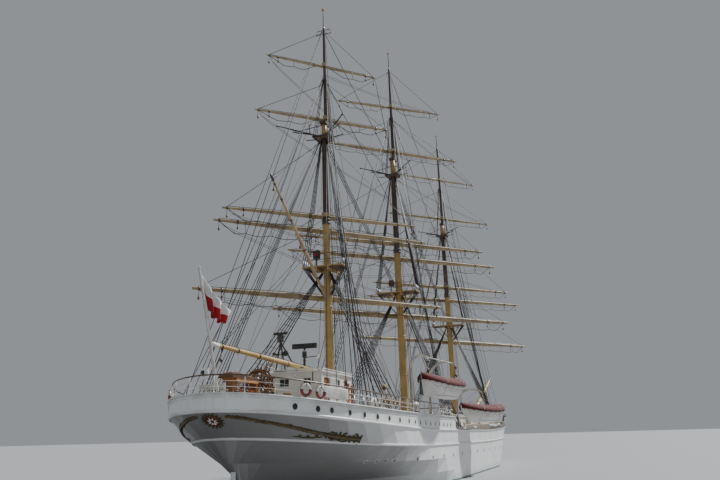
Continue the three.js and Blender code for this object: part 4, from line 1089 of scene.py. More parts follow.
def sternCarving():
    shape = Shape()
    for side in (1, -1):
        core, angle = [], 6.0
        previous = None
        k = 0
        while angle < 90:
            place, normal = sternPoint(side * angle, garlandAt(angle))
            core.append(place + normal * 0.03)
            if previous is not None:
                along = (place - previous).normalized()
                across = normal.cross(along).normalized()
                spread = 1.0 + 0.8 * max(0.0, (angle - 52) / 38)
                for row, tilt in ((0.06, 0.6), (-0.06, -0.6)):
                    lean = (along + across * tilt * random.uniform(0.8, 1.3)).normalized()
                    size = garland["leaf"] * random.uniform(0.8, 1.15) * (1.0 + 0.25 * (spread - 1))
                    leafOn(shape, place + across * row * spread, normal, lean, size, size * 0.5, k % 3 and 1 or 0)
                for _ in range(3 if spread > 1.1 else 1):
                    lean = (along + across * random.uniform(-1.4, 1.4)).normalized()
                    reach = 0.1 if spread < 1.1 else 0.2
                    leafOn(shape, place + across * random.uniform(-reach, reach) * spread, normal, lean, 0.26, 0.14,
                            random.choice((0, 0, 1)))
            previous = place
            k += 1
            step = garland["leafEvery"]
            angle += degrees(step / max(5.0, (place - Vector((-31, 0, place.z))).length))
        shape.tube(core, garland["rope"], 6)
        for centreAngle, z, radius in ((60, 3.66, 0.17), (66, 3.58, 0.15), (73, 3.62, 0.16), (80, 3.53, 0.14),
                (86, 3.5, 0.12), (49, 3.72, 0.11), (43, 3.72, 0.10), (38, 3.76, 0.09)):
            place, normal = sternPoint(side * centreAngle, z)
            along = upBy(1).cross(normal).normalized() * side
            scroll(shape, place, normal, along, radius, 1.4, 0.028, 0)
        low = []
        for i in range(16):
            a = 34 + 20 * i / 15
            place, normal = sternPoint(side * a, 3.76 - 0.05 * sin(pi * i / 15) - 0.005 * i)
            low.append(place + normal * 0.025)
        shape.tube(low, [0.02 + 0.015 * sin(pi * i / 15) for i in range(16)], 6, 1)
    shape.piece("stern_garland", "gildedLeaf", "leafGreen")
    rosette = Shape()
    look = garland["rosette"]
    place, normal = sternPoint(0, look["z"])
    side = Vector((0, 1, 0))
    up = normal.cross(side).normalized()
    big = look["radius"]
    rosette.turned(place, normal, [(-0.04, big * 0.66), (0.035, big * 0.64), (0.05, big * 0.45), (0.05, 0)], 28, 1)
    ring = [place + (side * cos(t) + up * sin(t)) * big * 0.66 + normal * 0.04 for t in
            circle(30)]
    rosette.tube(ring, 0.035, 8, 0, loop=True)
    for k in range(16):
        turn = 2 * pi * k / 16
        way = side * cos(turn) + up * sin(turn)
        leafOn(rosette, place + way * big * 0.86 + normal * 0.01, normal, way, big * 0.42, big * 0.2, 0)
    for k in range(8):
        turn = 2 * pi * (k + 0.5) / 8
        way = side * cos(turn) + up * sin(turn)
        leafOn(rosette, place + way * big * 0.3 + normal * 0.05, normal, way, big * 0.46, big * 0.2, 2)
    rosette.turned(place + normal * 0.05, normal, [(0, 0.07), (0.03, 0.06), (0.045, 0)], 14)
    rosette.piece("stern_rosette", "gildedLeaf", "ventRed", "ringWhite")


# The open rail round the poop: stanchions, thin bars between them and a varnished handrail on top.
poopRail = {"height": 0.86, "inset": 0.11, "every": 1.55, "bars": (0.28, 0.56), "hand": 0.037, "post": 0.024,
        "bar": 0.013}


def alongPath(path, every):
    marks, gone, target = [], 0.0, every / 2
    for a, b in zip(path, path[1:]):
        length = (b - a).length
        while gone + length >= target:
            marks.append(a.lerp(b, (target - gone) / length))
            target += every
        gone += length
    return marks


def openRail(name, path, height, every, bars, hand="railBrown", gaps=()):
    shape = Shape()
    keep = [p for p in alongPath(path, every) if not any(low < p.x < high and p.y * sign > 0 for low, high,
            sign in gaps)]
    for foot in keep:
        shape.tube([foot, foot + upBy(height)], poopRail["post"], 6)
        shape.upright(foot, [(0, 0.06), (0.03, 0.055), (0.05, 0.03)], 8)
        for up in bars:
            shape.upright(foot + upBy(up - 0.03), [(0, 0.026), (0.03, 0.04), (0.06, 0.026)], 8)
    for up in bars:
        shape.tube([p + upBy(up) for p in path], poopRail["bar"], 5)
    shape.tube([p + upBy(height) for p in path], poopRail["hand"], 8, 1)
    shape.piece(name, "davitWhite", hand)


def deckEdge(line, start, end, sign, inset, lift=0.0, count=26):
    xs = [start + (end - start) * i / count for i in range(count + 1)]
    return [sideAt(x, sheerAt(line, x) - 0.06, sign) + Vector((0, -sign * inset, 0.06 + lift)) for x in xs]


def poopRails():
    path = hullOutline(lambda x: sheerAt("rail", x), -9.4, -0.06, out=-poopRail["inset"])
    path = [p + upBy(0.13) for p in path]
    openRail("poop_rail", path, poopRail["height"], poopRail["every"], poopRail["bars"])
    width = sideAt(-9.2, 4.9, 1).y - 0.3
    across = [Vector((-9.4, y, 4.95)) for y in (-width, -width * 0.35)]
    openRail("poop_break_rail_starboard", across, 0.95, 1.2, (0.3, 0.6))
    openRail("poop_break_rail_port", [Vector((p.x, -p.y, p.z)) for p in across], 0.95, 1.2, (0.3, 0.6))
    fore = [Vector((25.25, y, sheerAt("upper", 25.2) + 0.4)) for y in (-4.6, -1.5)]
    openRail("forecastle_rail_starboard", fore, 0.95, 1.2, (0.3, 0.6))
    openRail("forecastle_rail_port", [Vector((p.x, -p.y, p.z)) for p in fore], 0.95, 1.2, (0.3, 0.6))


hullMouldings()
portholes()
sternCarving()
poopRails()
print("hull dressed")


# Steering gear: cambered lid, side panels and chest of its case, and the fittings of the double wheel.
gearLid = ((-37.15, 6.9), (-37.05, 7.0), (-36.8, 7.08), (-36.4, 7.08), (-36.0, 7.03), (-35.5, 6.98), (-34.9, 6.95),
        (-34.3, 6.93))
gearCase = {"lidHalf": 0.455, "camber": 0.09, "foot": 6.79, "half": 0.403, "valance": 6.6,
        "chest": (-36.8, -36.3, 0.2), "floor": 5.535, "panel": 0.016}
wheelSet = {"x": -33.2, "z": 6.72, "rim": 0.7, "spokes": 10, "rims": (0, -0.42)}


def steeringCase():
    case = gearCase
    lid = Shape()
    half, camber, foot = case["lidHalf"], case["camber"], case["foot"]
    rings = []
    for x, z in gearLid:
        over = [(-half, z - camber + 0.015), (-half * 0.55, z - camber * 0.25 + 0.03), (0, z + 0.03),
                (half * 0.55, z - camber * 0.25 + 0.03), (half, z - camber + 0.015)]
        rings.append([Vector((x, y, up)) for y, up in [(-half, foot - 0.03)] + over + [(half, foot - 0.03),
                (half - 0.04, foot - 0.03), (half - 0.04, foot), (-half + 0.04, foot),
                (-half + 0.04, foot - 0.03)]])
    rings[0] = [p - Vector((0.03, 0, 0)) for p in rings[0]]
    lid.loft(rings, 0)
    for share in (-0.55, 0.0, 0.55):
        lid.tube([Vector((x, half * share, z + 0.035 - camber * (0.25 if share else 0))) for x, z in gearLid],
                0.012, 5)
    for x in (-36.6, -35.5, -34.5):
        lid.upright((x, 0, 7.0 if x > -36 else 7.1), [(0, 0.05), (0.02, 0.045), (0.03, 0.015), (0.06, 0.03),
                (0.07, 0)], 10, 1)
    lid.piece("steering_case_lid", "gearLidBrown", "brass")
    panels = Shape()
    aft, fore, wide = case["chest"]
    for sign in (-1, 1):
        y = sign * (case["half"] + case["panel"] / 2)
        middle, length = (aft - 34.36) / 2, -34.36 - aft
        height = case["foot"] - case["valance"]
        panels.box((middle, y, (case["foot"] + case["valance"]) / 2 - 0.01), (length, case["panel"], height + 0.02))
        for z in (case["valance"] + 0.015, case["foot"] - 0.025):
            panels.box((middle, y + sign * 0.012, z), (length, case["panel"], 0.035))
        for x in (aft + 0.03, -35.6, -34.4):
            panels.box((x, y + sign * 0.012, (case["foot"] + case["valance"]) / 2 - 0.01),
                    (0.07, case["panel"] * 1.2, height + 0.02))
        panels.box((-34.46, sign * 0.35, 6.06), (0.1, 0.1, 1.06), 1)
        panels.box((-34.46, sign * 0.35, 5.57), (0.16, 0.16, 0.07), 1)
        # The two screws of the gear and the rods of its crosshead.
        panels.tube([(-36.28, sign * 0.11, 6.4), (-34.2, sign * 0.11, 6.4)], 0.035, 8, 2)
        for k in range(18):
            panels.turned((-36.1 + k * 0.1, sign * 0.11, 6.4), (1, 0, 0), [(0, 0.035), (0.02, 0.05), (0.04, 0.035)],
                    8, 2)
    panels.box((-35.2, 0, 6.4), (0.22, 0.44, 0.16), 3)
    panels.tube([(-34.2, 0, 6.72), (-33.9, 0, 6.72)], 0.06, 10, 2)
    panels.piece("steering_case_panels", "orangeWood", "varnishedWood", "brass", "ventRed", bevel=0.005)
    chest = Shape()
    for share in (-1, -0.5, 0, 0.5, 1):
        chest.tube([(aft - 0.275, case["half"] * share * 0.96, case["foot"] + 0.03),
                (aft - 0.02, wide * share * 0.95, case["valance"] - 0.01)], 0.02, 6)
        chest.tube([(aft - 0.008, (wide - 0.01) * share * 0.95, case["floor"] + 0.02),
                (aft - 0.008, (wide - 0.01) * share * 0.95, 6.6)], 0.018, 6)
    for z in (5.6, 6.08, 6.56):
        chest.box((aft - 0.012, 0, z), (0.03, 2 * wide, 0.07))
        for sign in (-1, 1):
            chest.box(((aft + fore) / 2, sign * wide, z), (fore - aft + 0.03, 0.025, 0.07))
    chest.turned((aft - 0.03, 0.0, 6.32), (-1, 0, 0), [(0, 0.045), (0.012, 0.045), (0.018, 0.02), (0.045, 0.03),
            (0.055, 0.0)], 12, 1)
    chest.piece("steering_case_chest", "varnishedWood", "brass", bevel=0.004)


def wheelFittings():
    wheel = wheelSet
    shape = Shape()
    for at in wheel["rims"]:
        centre = Vector((wheel["x"] + at, 0, wheel["z"]))
        for k in range(wheel["spokes"]):
            turn = 2 * pi * k / wheel["spokes"]
            way = Vector((0, -sin(turn), -cos(turn)))
            shape.turned(centre, way, [(0.16, 0.03), (0.2, 0.05), (0.26, 0.036), (0.42, 0.052), (0.56, 0.036),
                    (0.62, 0.045), (0.64, 0.04)], 8)
            shape.turned(centre, way, [(0.755, 0.032), (0.78, 0.042), (0.81, 0.03), (0.87, 0.05), (0.92, 0.044),
                    (0.945, 0.01)], 8)
        for side in (-1, 1):
            ring = [centre + Vector((side * 0.05, cos(t) * wheel["rim"], sin(t) * wheel["rim"]))
                    for t in circle(40)]
            shape.tube(ring, 0.014, 5, 1, loop=True)
            shape.turned(centre + Vector((side * 0.11, 0, 0)), (side, 0, 0),
                    [(0, 0.13), (0.02, 0.12), (0.035, 0.06), (0.06, 0.05), (0.065, 0)], 18, 1)
        for radius in (wheel["rim"] - 0.07, wheel["rim"] + 0.058):
            ring = [centre + Vector((0, cos(t) * radius, sin(t) * radius)) for t in
                    circle(40)]
            shape.tube(ring, 0.022, 6, 0, loop=True)
    shape.piece("wheel_fittings", "wheelWood", "brass", rides="wheel")


# Things that stand round the wheel and along the stern: grating, compass, bench, bollards, light and life rings.
sternGear = {"grating": (-34.05, -32.6, 1.1), "binnacle": (-31.6, 0, 5.3), "bench": (-37.62, 0.55, 6.2),
        "benchLong": 1.5, "bollards": ((-37.9, 0.2), (-37.9, -1.3), (-37.2, 2.6), (-37.2, -2.6)),
        "light": (-38.72, 0.36, 6.93), "rings": ((-36.06, 6.02), (-35.13, 5.93)), "ring": (0.275, 0.07)}


def deckAt(x):
    return sheerAt("rail", x) - 0.15


def bollardPair(shape, x, y, deck, along=(1, 0, 0), size=1.0, look=0):
    along = Vector(along)
    shape.box((x, y, deck + 0.03), (0.9 * size if along.x else 0.34 * size, 0.34 * size if along.x else 0.9 * size,
            0.06), look)
    for side in (-0.27, 0.27):
        foot = Vector((x, y, deck + 0.05)) + along * side * size
        rows = [(0, 0.11), (0.04, 0.095), (0.30, 0.09), (0.33, 0.12), (0.37, 0.125), (0.40, 0.09), (0.41, 0.0)]
        shape.upright(foot, [(a * size, r * size) for a, r in rows], 14, look)


def sternThings():
    gear = sternGear
    grating = Shape()
    aft, fore, half = gear["grating"]
    count = 22
    for i in range(count + 1):
        grating.box(((aft + fore) / 2, -half + 2 * half * i / count, 5.565), (fore - aft, 0.035, 0.03))
    for i in range(9):
        grating.box((aft + (fore - aft) * i / 8, 0, 5.56), (0.045, 2 * half, 0.045))
    grating.piece("wheel_grating", "bareWood")
    compass = Shape()
    x, y, z = gear["binnacle"]
    compass.upright((x, y, z), [(0, 0.3), (0.05, 0.3), (0.09, 0.21), (0.55, 0.15), (0.85, 0.17), (0.9, 0.2)], 12)
    compass.upright((x, y, z + 0.9), [(0, 0.2), (0.12, 0.21), (0.2, 0.19), (0.3, 0.13), (0.36, 0.05), (0.42, 0.03),
            (0.43, 0)], 18, 1)
    for side in (-1, 1):
        compass.upright((x, y + side * 0.32, z + 0.78), [(-0.11, 0.02), (-0.08, 0.075), (0, 0.11), (0.08, 0.075),
                (0.11, 0.02)], 14, 2)
        compass.tube([(x, y + side * 0.16, z + 0.72), (x, y + side * 0.32, z + 0.68)], 0.025, 6, 1)
    compass.piece("binnacle", "varnishedWood", "brass", "gearBlack")
    bench = Shape()
    x, y, z = gear["bench"]
    for k, (dx, up) in enumerate(((0, 0.16), (0, 0.04), (0.1, -0.06), (0.24, -0.06), (0.38, -0.06))):
        upright = k < 2
        bench.box((x + dx, y, z + up), (0.03 if upright else 0.12, gear["benchLong"], 0.1 if upright else 0.03))
    for side in (-1, 1):
        for dx in (0.02, 0.4):
            top = z + (0.2 if dx < 0.1 else -0.08)
            bench.tube([(x + dx, y + side * gear["benchLong"] * 0.44, deckAt(x)),
                    (x + dx, y + side * gear["benchLong"] * 0.44, top)], 0.025, 6, 1)
    bench.piece("stern_bench", "hatchGrey", "davitWhite", bevel=0.006)
    bollards = Shape()
    for x, y in gear["bollards"]:
        bollardPair(bollards, x, y, deckAt(x), (0, 1, 0) if abs(y) < 2 else (1, 0, 0))
    bollards.piece("stern_bollards", "gearBlack", bevel=0.01)
    lamp = Shape()
    x, y, z = gear["light"]
    lamp.box((x + 0.1, y, z), (0.2, 0.32, 0.34))
    lamp.box((x + 0.1, y, z + 0.185), (0.24, 0.36, 0.03))
    lamp.box((x + 0.1, y, z - 0.185), (0.24, 0.36, 0.03))
    lamp.box((x - 0.005, y + 0.07, z), (0.02, 0.17, 0.2), 1)
    lamp.tube([(x + 0.05, y, z - 0.2), (x + 0.05, y, z - 0.36)], 0.03, 6, 2)
    lamp.piece("stern_light", "houseWhite", "darkGlass", "davitWhite", bevel=0.012)
    rings = Shape()
    radius, thick = gear["ring"]
    for x, height in gear["rings"]:
        for sign in (-1, 1):
            tangent = (sideAt(x + 0.4, 5.4, sign) - sideAt(x - 0.4, 5.4, sign)).normalized()
            along = Vector((tangent.x, tangent.y, 0)).normalized()
            out = Vector((along.y, -along.x, 0))
            if out.y * sign < 0:
                out = -out
            rail = sideAt(x, 5.4, sign)
            centre = Vector((x, rail.y - sign * poopRail["inset"], height)) + out * 0.12
            for low, high, look in ((0, 180, 0), (180, 360, 1)):
                arc = [centre + (along * cos(radians(a)) + upBy(1) * sin(radians(a))) * radius
                       for a in range(low, high + 1, 12)]
                rings.tube(arc, thick, 10, look)
            for a in (0, 90, 180, 270):
                spoke = along * cos(radians(a)) + upBy(1) * sin(radians(a))
                turnWay = along * -sin(radians(a)) + upBy(1) * cos(radians(a))
                rings.turned(centre + spoke * radius - turnWay * 0.03, turnWay,
                        [(0, thick + 0.003), (0.0, thick + 0.008), (0.06, thick + 0.008), (0.06, thick + 0.003)],
                        12, 2)
            grab = [centre + (along * cos(t) + upBy(1) * sin(t)) * (radius + thick + 0.02 + 0.025 * abs(sin(2 * t)))
                    for t in circle(48)]
            rings.tube(grab, 0.01, 5, 3, loop=True)
            rings.box(centre - out * 0.09 - upBy(0.36), (0.16, 0.05, 0.1), 4)
    rings.piece("life_rings", "ringWhite", "ringRed", "gearBlack", "darkRope", "davitWhite")


steeringCase()
wheelFittings()
sternThings()
print("stern deck dressed")


# Lifeboats: how they hang, the lines of their gunwale, of the cover's slope and of its ridge (height, rise aft and
# forward, reach, half breadth, run aft, power, run forward), and what is on them.
boats = {
    "aft": {"place": (-16.9, 7.08, 7.35), "yaw": 8.5, "hooks": (-2.95, 2.95), "deck": "rail", "lift": -0.15},
    "midship": {"place": (-3.1, 7.7, 5.78), "yaw": 196.5, "hooks": (0.0,), "deck": "lower", "lift": 0.05},
}
boatRows = ((0.0, 0.30, 0.30, 4.3, 1.03, 4.1, 2.1, 4.2), (0.3, 0.26, 0.22, 4.2, 0.60, 3.6, 2.0, 3.6),
            (0.45, 0.14, 0.10, 4.1, 0.12, 2.0, 2.0, 2.0))
boatGear = {"coverWide": 2.9, "coverLong": 9.0, "flap": 0.24, "scallop": 0.07, "strake": 0.05,
        "gripes": (-1.75, 1.75), "legs": 2.75, "block": 0.13}
davits = {"y": 5.3, "above": 1.95, "rise": 1.35, "radius": 0.075, "bend": 130}


def boatRow(row, x):
    z, aft, fore, reach, half, runAft, power, runFore = row

    def fine(distance, run, fullness):
        t = min(1.0, max(0.0, distance / run))
        return (1 - (1 - t) ** power) ** (1 / max(1.0, power * fullness))

    height = z + aft * max(0, -x / 4.3) ** 2 + fore * max(0, x / 4.3) ** 2
    return max(0.02, half * fine(x + reach, runAft, 0.85) * fine(reach - x, runFore, 0.75)), height


def davitHead(boat, sign, hook, share=1.0):
    heading = radians(sign * boat["yaw"])
    x, y, z = boat["place"]
    bend = radians(davits["bend"])
    reach = sign * y + hook * sin(heading) - sign * davits["y"]
    turn = bend * share
    out = (1 - cos(turn)) / (1 - cos(bend))
    return Vector((x + hook * cos(heading), sign * davits["y"] + reach * out,
                   z + davits["above"] - davits["rise"] * (1 - sin(turn))))


def boatCover(label, place):
    cover = Shape()
    stations = [-4.3 * cos(pi * i / 34) for i in range(35)]
    points, faces = [], []
    for i, x in enumerate(stations):
        (g, gz), (m, mz), (r, rz) = (boatRow(row, x) for row in boatRows)
        low = gz - boatGear["flap"] + boatGear["scallop"] * abs(sin(pi * i / 2.6))
        sag = random.uniform(-0.012, 0.012) - 0.02 * abs(sin(pi * i / 4))
        half = [(g + 0.035, low), (g + 0.045, gz - 0.08), (g + 0.03, gz + 0.07), (m + 0.02, mz + 0.04 + sag),
                (r * 0.7, rz + 0.045 + sag * 0.4)]
        section = [(-y, z) for y, z in half] + [(0, rz + 0.055)] + [(y, z) for y, z in reversed(half)]
        points += [place(x * 1.008, y, z) for y, z in section]
    n = 11
    for i in range(len(stations) - 1):
        faces += [(i * n + k, i * n + k + 1, (i + 1) * n + k + 1, (i + 1) * n + k) for k in range(n - 1)]
    cover.put(points, faces, 0)
    body = cover.piece(f"boat_cover_{label}", "coverMaroon")
    thick = body.modifiers.new("cloth", "SOLIDIFY")
    thick.thickness, thick.offset = 0.014 * modelScale, 1.0


def boatFittings(label, place, tree):
    shape = Shape()

    def skin(x, z, way, out=0.0):
        start, aim = place(x, way * 2.2, z) * modelScale, (place(x, 0, z) - place(x, way, z)).normalized()
        hit = tree.ray_cast(start, aim)[0]
        return None if hit is None else hit / modelScale - aim * out

    for way in (-1, 1):
        for low, thick in ((-0.30, boatGear["strake"]), (-0.62, 0.028)):
            path = []
            for i in range(29):
                x = -3.95 + 7.85 * i / 28
                height = low + boatRow(boatRows[0], x)[1]
                spot = skin(x, height, way, thick * 0.35)
                if spot is not None:
                    path.append(spot)
            shape.tube(path, thick, 6)
        keel = [skin(-2.6 + 4.2 * i / 12, -0.93, way, 0.01) for i in range(13)]
        shape.tube([p for p in keel if p is not None], 0.028, 6, 1)
        # The lifeline hangs in loops along the side.
        line = []
        for i in range(57):
            x = -3.6 + 7.2 * i / 56
            height = boatRow(boatRows[0], x)[1] - 0.33 - 0.16 * abs(sin(pi * i / 8))
            spot = skin(x, height, way, 0.035)
            if spot is not None:
                line.append(spot)
        shape.tube(line, 0.013, 4, 2)
        for x in boatGear["gripes"]:
            g, gz = boatRow(boatRows[0], x)
            band = [skin(x, gz - 1.0 + 0.14 * i, way, 0.025) for i in range(7)]
            band = [p for p in band if p is not None]
            (m, mz), (r, rz) = (boatRow(row, x) for row in boatRows[1:])
            band += [place(x, way * (g + 0.075), gz - 0.05), place(x, way * (g + 0.05), gz + 0.11),
                    place(x, way * (m + 0.02), mz + 0.075), place(x, 0, rz + 0.09)]
            shape.tube(band, 0.03, 6, 3)
    # Stem and stern posts, and the rudder on its pintles.
    for end, drop in ((-1, 1.0), (1, 0.7)):
        path = [place(end * (4.33 - 0.55 * t * t * (1.6 if end > 0 else 0.6)), 0, 0.36 - drop * 1.35 * t)
                for t in [i / 8 for i in range(9)]]
        shape.tube(path, 0.05, 6)
    outline = [(-4.38, 0.42), (-4.56, 0.42), (-4.60, -0.1), (-4.66, -0.55), (-4.55, -0.95), (-4.12, -1.0),
            (-4.22, -0.5), (-4.36, 0.0)]
    side = place(0, 0.03, 0) - place(0, -0.03, 0)
    shape.slab([place(x, -0.03, z) for x, z in outline], side, 4)
    for x, z in ((-4.36, 0.2), (-4.28, -0.45)):
        shape.box(place(x, 0, z), (0.16, 0.09, 0.06), 1)
    shape.tube([place(-4.5, 0, 0.42), place(-4.45, 0, 0.52), place(-3.9, 0, 0.62)], 0.03, 6, 1)
    for x in (-boatGear["legs"], boatGear["legs"]):
        top = boatRow(boatRows[2], x)[1]
        ring = [place(x + 0.06 * cos(t), 0, top + 0.13 + 0.06 * sin(t)) for t in circle(12)]
        shape.tube(ring, 0.018, 5, 1, loop=True)
        shape.tube([place(x, 0, top - 0.02), place(x, 0, top + 0.09)], 0.025, 6, 1)
    shape.piece(f"boat_fittings_{label}", "hullTrimWhite", "galvanised", "hempRope", "canvasWhite", "gearBlack",
            bevel=0.004)


def pulley(shape, place, size, look):
    shape.upright(place - upBy(size), [(0, size * 0.25), (size * 0.4, size * 0.62), (size, size * 0.72),
            (size * 1.6, size * 0.6), (size * 2, size * 0.25)], 10, look)
    shape.turned(place - Vector((0, size * 0.78, 0)), (0, 1, 0),
            [(0, size * 0.3), (size * 0.08, size * 0.34), (size * 1.48, size * 0.34), (size * 1.56, size * 0.3)],
            10, look + 1)


def boatFalls(label, boat, sign, place):
    shape = Shape()
    size = boatGear["block"]
    for hook in boat["hooks"]:
        head = davitHead(boat, sign, hook)
        foot = place(hook, 0, boatRow(boatRows[2], hook)[1] + 0.16)
        if len(boat["hooks"]) == 1:
            foot = foot + upBy(0.42)
            for x in (-boatGear["legs"], boatGear["legs"]):
                shape.tube([foot, place(x, 0, boatRow(boatRows[2], x)[1] + 0.16)], 0.02, 5)
        upper = head - upBy(size + 0.05)
        lower = foot + upBy(size + 0.04)
        shape.tube([head + upBy(0.02), upper], 0.03, 6, 2)
        shape.tube([lower, foot], 0.025, 6, 2)
        pulley(shape, upper, size, 1)
        pulley(shape, lower, size, 1)
        for shift in (-0.07, 0.0, 0.07):
            shape.tube([upper + Vector((shift, 0, 0)), lower + Vector((shift * 0.8, 0.01, 0))], 0.018, 5)
        # The hauling part comes back along the arm to a cleat on its post.
        back = [davitHead(boat, sign, hook, k / 10) + upBy(0.11) for k in range(10, 2, -1)]
        deck = sheerAt(boat["deck"], head.x) + boat["lift"]
        post = davitHead(boat, sign, hook, 0)
        cleat = Vector((post.x - 0.14, post.y, deck + 1.15))
        shape.tube([upper, *back, Vector((post.x - 0.13, post.y, post.z)), cleat], 0.018, 5)
        shape.box(cleat, (0.05, 0.05, 0.34), 3)
        for k in range(4):
            coil = [cleat + Vector((-0.03 - 0.012 * k, sin(t) * 0.13, -0.25 + cos(t) * 0.27)) for t in circle(14)]
            shape.tube(coil, 0.018, 5, 0, loop=True)
        shape.upright((post.x, post.y, deck - 0.005), [(0, 0.24), (0.05, 0.24), (0.07, 0.17), (0.5, 0.15),
                (0.53, 0.12)], 16, 3)
        for k in (2, 5, 8):
            a, b = davitHead(boat, sign, hook, k / 9), davitHead(boat, sign, hook, (k + 0.25) / 9)
            shape.turned(a, b - a, [(0, 0.085), (0, 0.105), (0.05, 0.105), (0.05, 0.085)], 12, 3)
        # Guys hold the head fore and aft.
        for way in (-1, 1):
            x = head.x + way * (2.6 if len(boat["hooks"]) > 1 else 3.2)
            edge = railFoot(x, sign, 0.1)
            shape.tube([head, edge], 0.016, 4, 4)
    shape.piece(f"boat_falls_{label}", "hempRope", "topBrown", "darkMetal", "davitWhite", "wireRope")


for boatName, boat in boats.items():
    for side, sign in bothSides:
        heading = Matrix.Rotation(radians(sign * boat["yaw"]), 3, "Z")
        centre = Vector((boat["place"][0], sign * boat["place"][1], boat["place"][2]))

        def place(x, y, z, heading=heading, centre=centre):
            return centre + heading @ Vector((x, y, z))

        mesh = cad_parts[f"lifeboat_{boatName}_{side}"].data
        tree = BVHTree.FromPolygons([v.co for v in mesh.vertices], [p.vertices for p in mesh.polygons])
        label = f"{boatName}_{side}"
        boatCover(label, place)
        boatFittings(label, place, tree)
        boatFalls(label, boat, sign, place)
print("boats dressed")


# The ensign hangs in folds from its staff, white over red: places of its hoist and fly, its length when flat.
ensign = {"hoist": ((-39.92, 0.0, 11.7), (-39.22, 0.0, 10.05)), "fly": ((-37.62, -0.45, 10.12), (-37.95, -0.3, 9.42)),
          "length": 2.86, "folds": 3.0, "rows": 16, "columns": 44, "thick": 0.008}


def ensignRow(down, swing):
    top, low = (Vector(p) for p in ensign["hoist"])
    flyTop, flyLow = (Vector(p) for p in ensign["fly"])
    start, end = top.lerp(low, down), flyTop.lerp(flyLow, down)
    way = (end - start).normalized()
    across = Vector((0, 1, 0)) - way * way.y
    row = []
    for i in range(ensign["columns"] + 1):
        along = i / ensign["columns"]
        wave = sin(2 * pi * ensign["folds"] * along + 1.1 * down) * min(1.0, along * 4)
        sag = upBy(-0.16 * sin(pi * along))
        row.append(start.lerp(end,
                along) + across * wave * swing + sag + way * 0.25 * swing * sin(4 * pi * ensign["folds"] * along))
    return row


def rowLength(row):
    return sum((b - a).length for a, b in zip(row, row[1:]))


def hangEnsign():
    look, shape, rows = ensign, Shape(), []
    for k in range(look["rows"] + 1):
        low, high = 0.0, 1.2
        for _ in range(24):
            middle = (low + high) / 2
            low, high = (middle, high) if rowLength(ensignRow(k / look["rows"], middle)) < look["length"] else (low,
                    middle)
        rows.append(ensignRow(k / look["rows"], low))
    n = look["columns"] + 1
    points = [p for row in rows for p in row]
    for half in (0, 1):
        first, last = half * look["rows"] // 2, (half + 1) * look["rows"] // 2
        faces = [(k * n + i, k * n + i + 1, (k + 1) * n + i + 1, (k + 1) * n + i) for k in range(first, last)
                for i in range(n - 1)]
        for face in faces:
            shape.faces.append(list(face))
            shape.looks.append(half)
            shape.smooth.append(True)
    shape.points = points
    cloth = shape.piece("ensign_cloth", "ensignWhite", "ensignRed")
    thick = cloth.modifiers.new("cloth", "SOLIDIFY")
    thick.thickness, thick.offset = look["thick"] * modelScale, 0.0
    hoist = (Vector(look["hoist"][0]) - Vector(look["hoist"][1])).length
    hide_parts("ensign")
    line = Shape()
    line.tube([(-40.14, 0.05, 11.98), Vector(look["hoist"][0]) + Vector((-0.02, 0.01, 0.03)),
            Vector(look["hoist"][1]), (-37.95, 0.02, 6.3)], 0.014, 5)
    line.tube([(-40.17, 0.03, 11.96), (-38.15, 0.05, 6.3)], 0.012, 5)
    line.box((-38.04, 0.0, 6.3), (0.2, 0.05, 0.05), 1)
    line.upright((-40.12, 0, 11.95), [(0, 0.04), (0.03, 0.068), (0.07, 0.068), (0.1, 0.03), (0.11, 0)], 12, 1)
    line.piece("ensign_halyard", "paleRope", "davitWhite")


# Houses: openings as x or y of the middle, sill height, breadth and height, on each wall.
houseWalls = {"chart": {"from": -28.5, "to": -22.95, "half": 1.8, "floor": 5.05, "roof": 7.78,
        "aft": ((0.75, 6.85, 0.64, 0.44), (-0.83, 6.88, 0.5, 0.42)),
        "fore": ((1.2, 6.88, 0.5, 0.42), (-1.2, 6.88, 0.5, 0.42)),
        "side": ((-25.5, 6.88, 0.5, 0.42), (-24.1, 6.88, 0.5, 0.42)),
        "doors": (("side", -27.6, 5.25, 0.75, 2.05),)}, "midship": {"from": 6.6, "to": 15.8, "half": 2.5,
        "floor": 3.25, "roof": 5.75, "aft": (), "fore": (), "side": ((8.0, 4.5, 0.5, 0.5), (10.0, 4.5, 0.5, 0.5),
        (12.4, 4.5, 0.5, 0.5), (14.4, 4.5, 0.5, 0.5)), "doors": (("aft", -1.2, 3.5, 0.75, 1.9),)},}
houseTrim = {"wall": 0.1, "frame": 0.06, "proud": 0.03, "overhang": 0.12, "rail": 0.28, "grab": 6.35}


def frameRound(shape, wall, middle, low, wide, high, face, sign, look, glass=None):
    size, proud = houseTrim["frame"], houseTrim["proud"]
    top = low + high

    def put(at, z, w, h, out, deep, which):
        place = (at, sign * (face + out), z) if wall == "side" else (sign * (face + out) if wall == "fore"
                else face - out, at, z)
        span = (w, deep, h) if wall == "side" else (deep, w, h)
        shape.box(place, span, which)

    for z in (low - size / 2, top + size / 2):
        put(middle, z, wide + 2 * size, size, proud / 2 - 0.004, proud, look)
    for way in (-1, 1):
        put(middle + way * (wide + size) / 2, (low + top) / 2, size, high, proud / 2 - 0.004, proud, look)
    if glass is not None:
        put(middle, (low + top) / 2, wide + 0.004, high + 0.004, -houseTrim["wall"] / 2, 0.02, glass)
        put(middle, (low + top) / 2, 0.025, high, -houseTrim["wall"] / 2 + 0.015, 0.012, look)
        put(middle, top + size + 0.02, wide + 3 * size, 0.03, 0.04, 0.08, look)


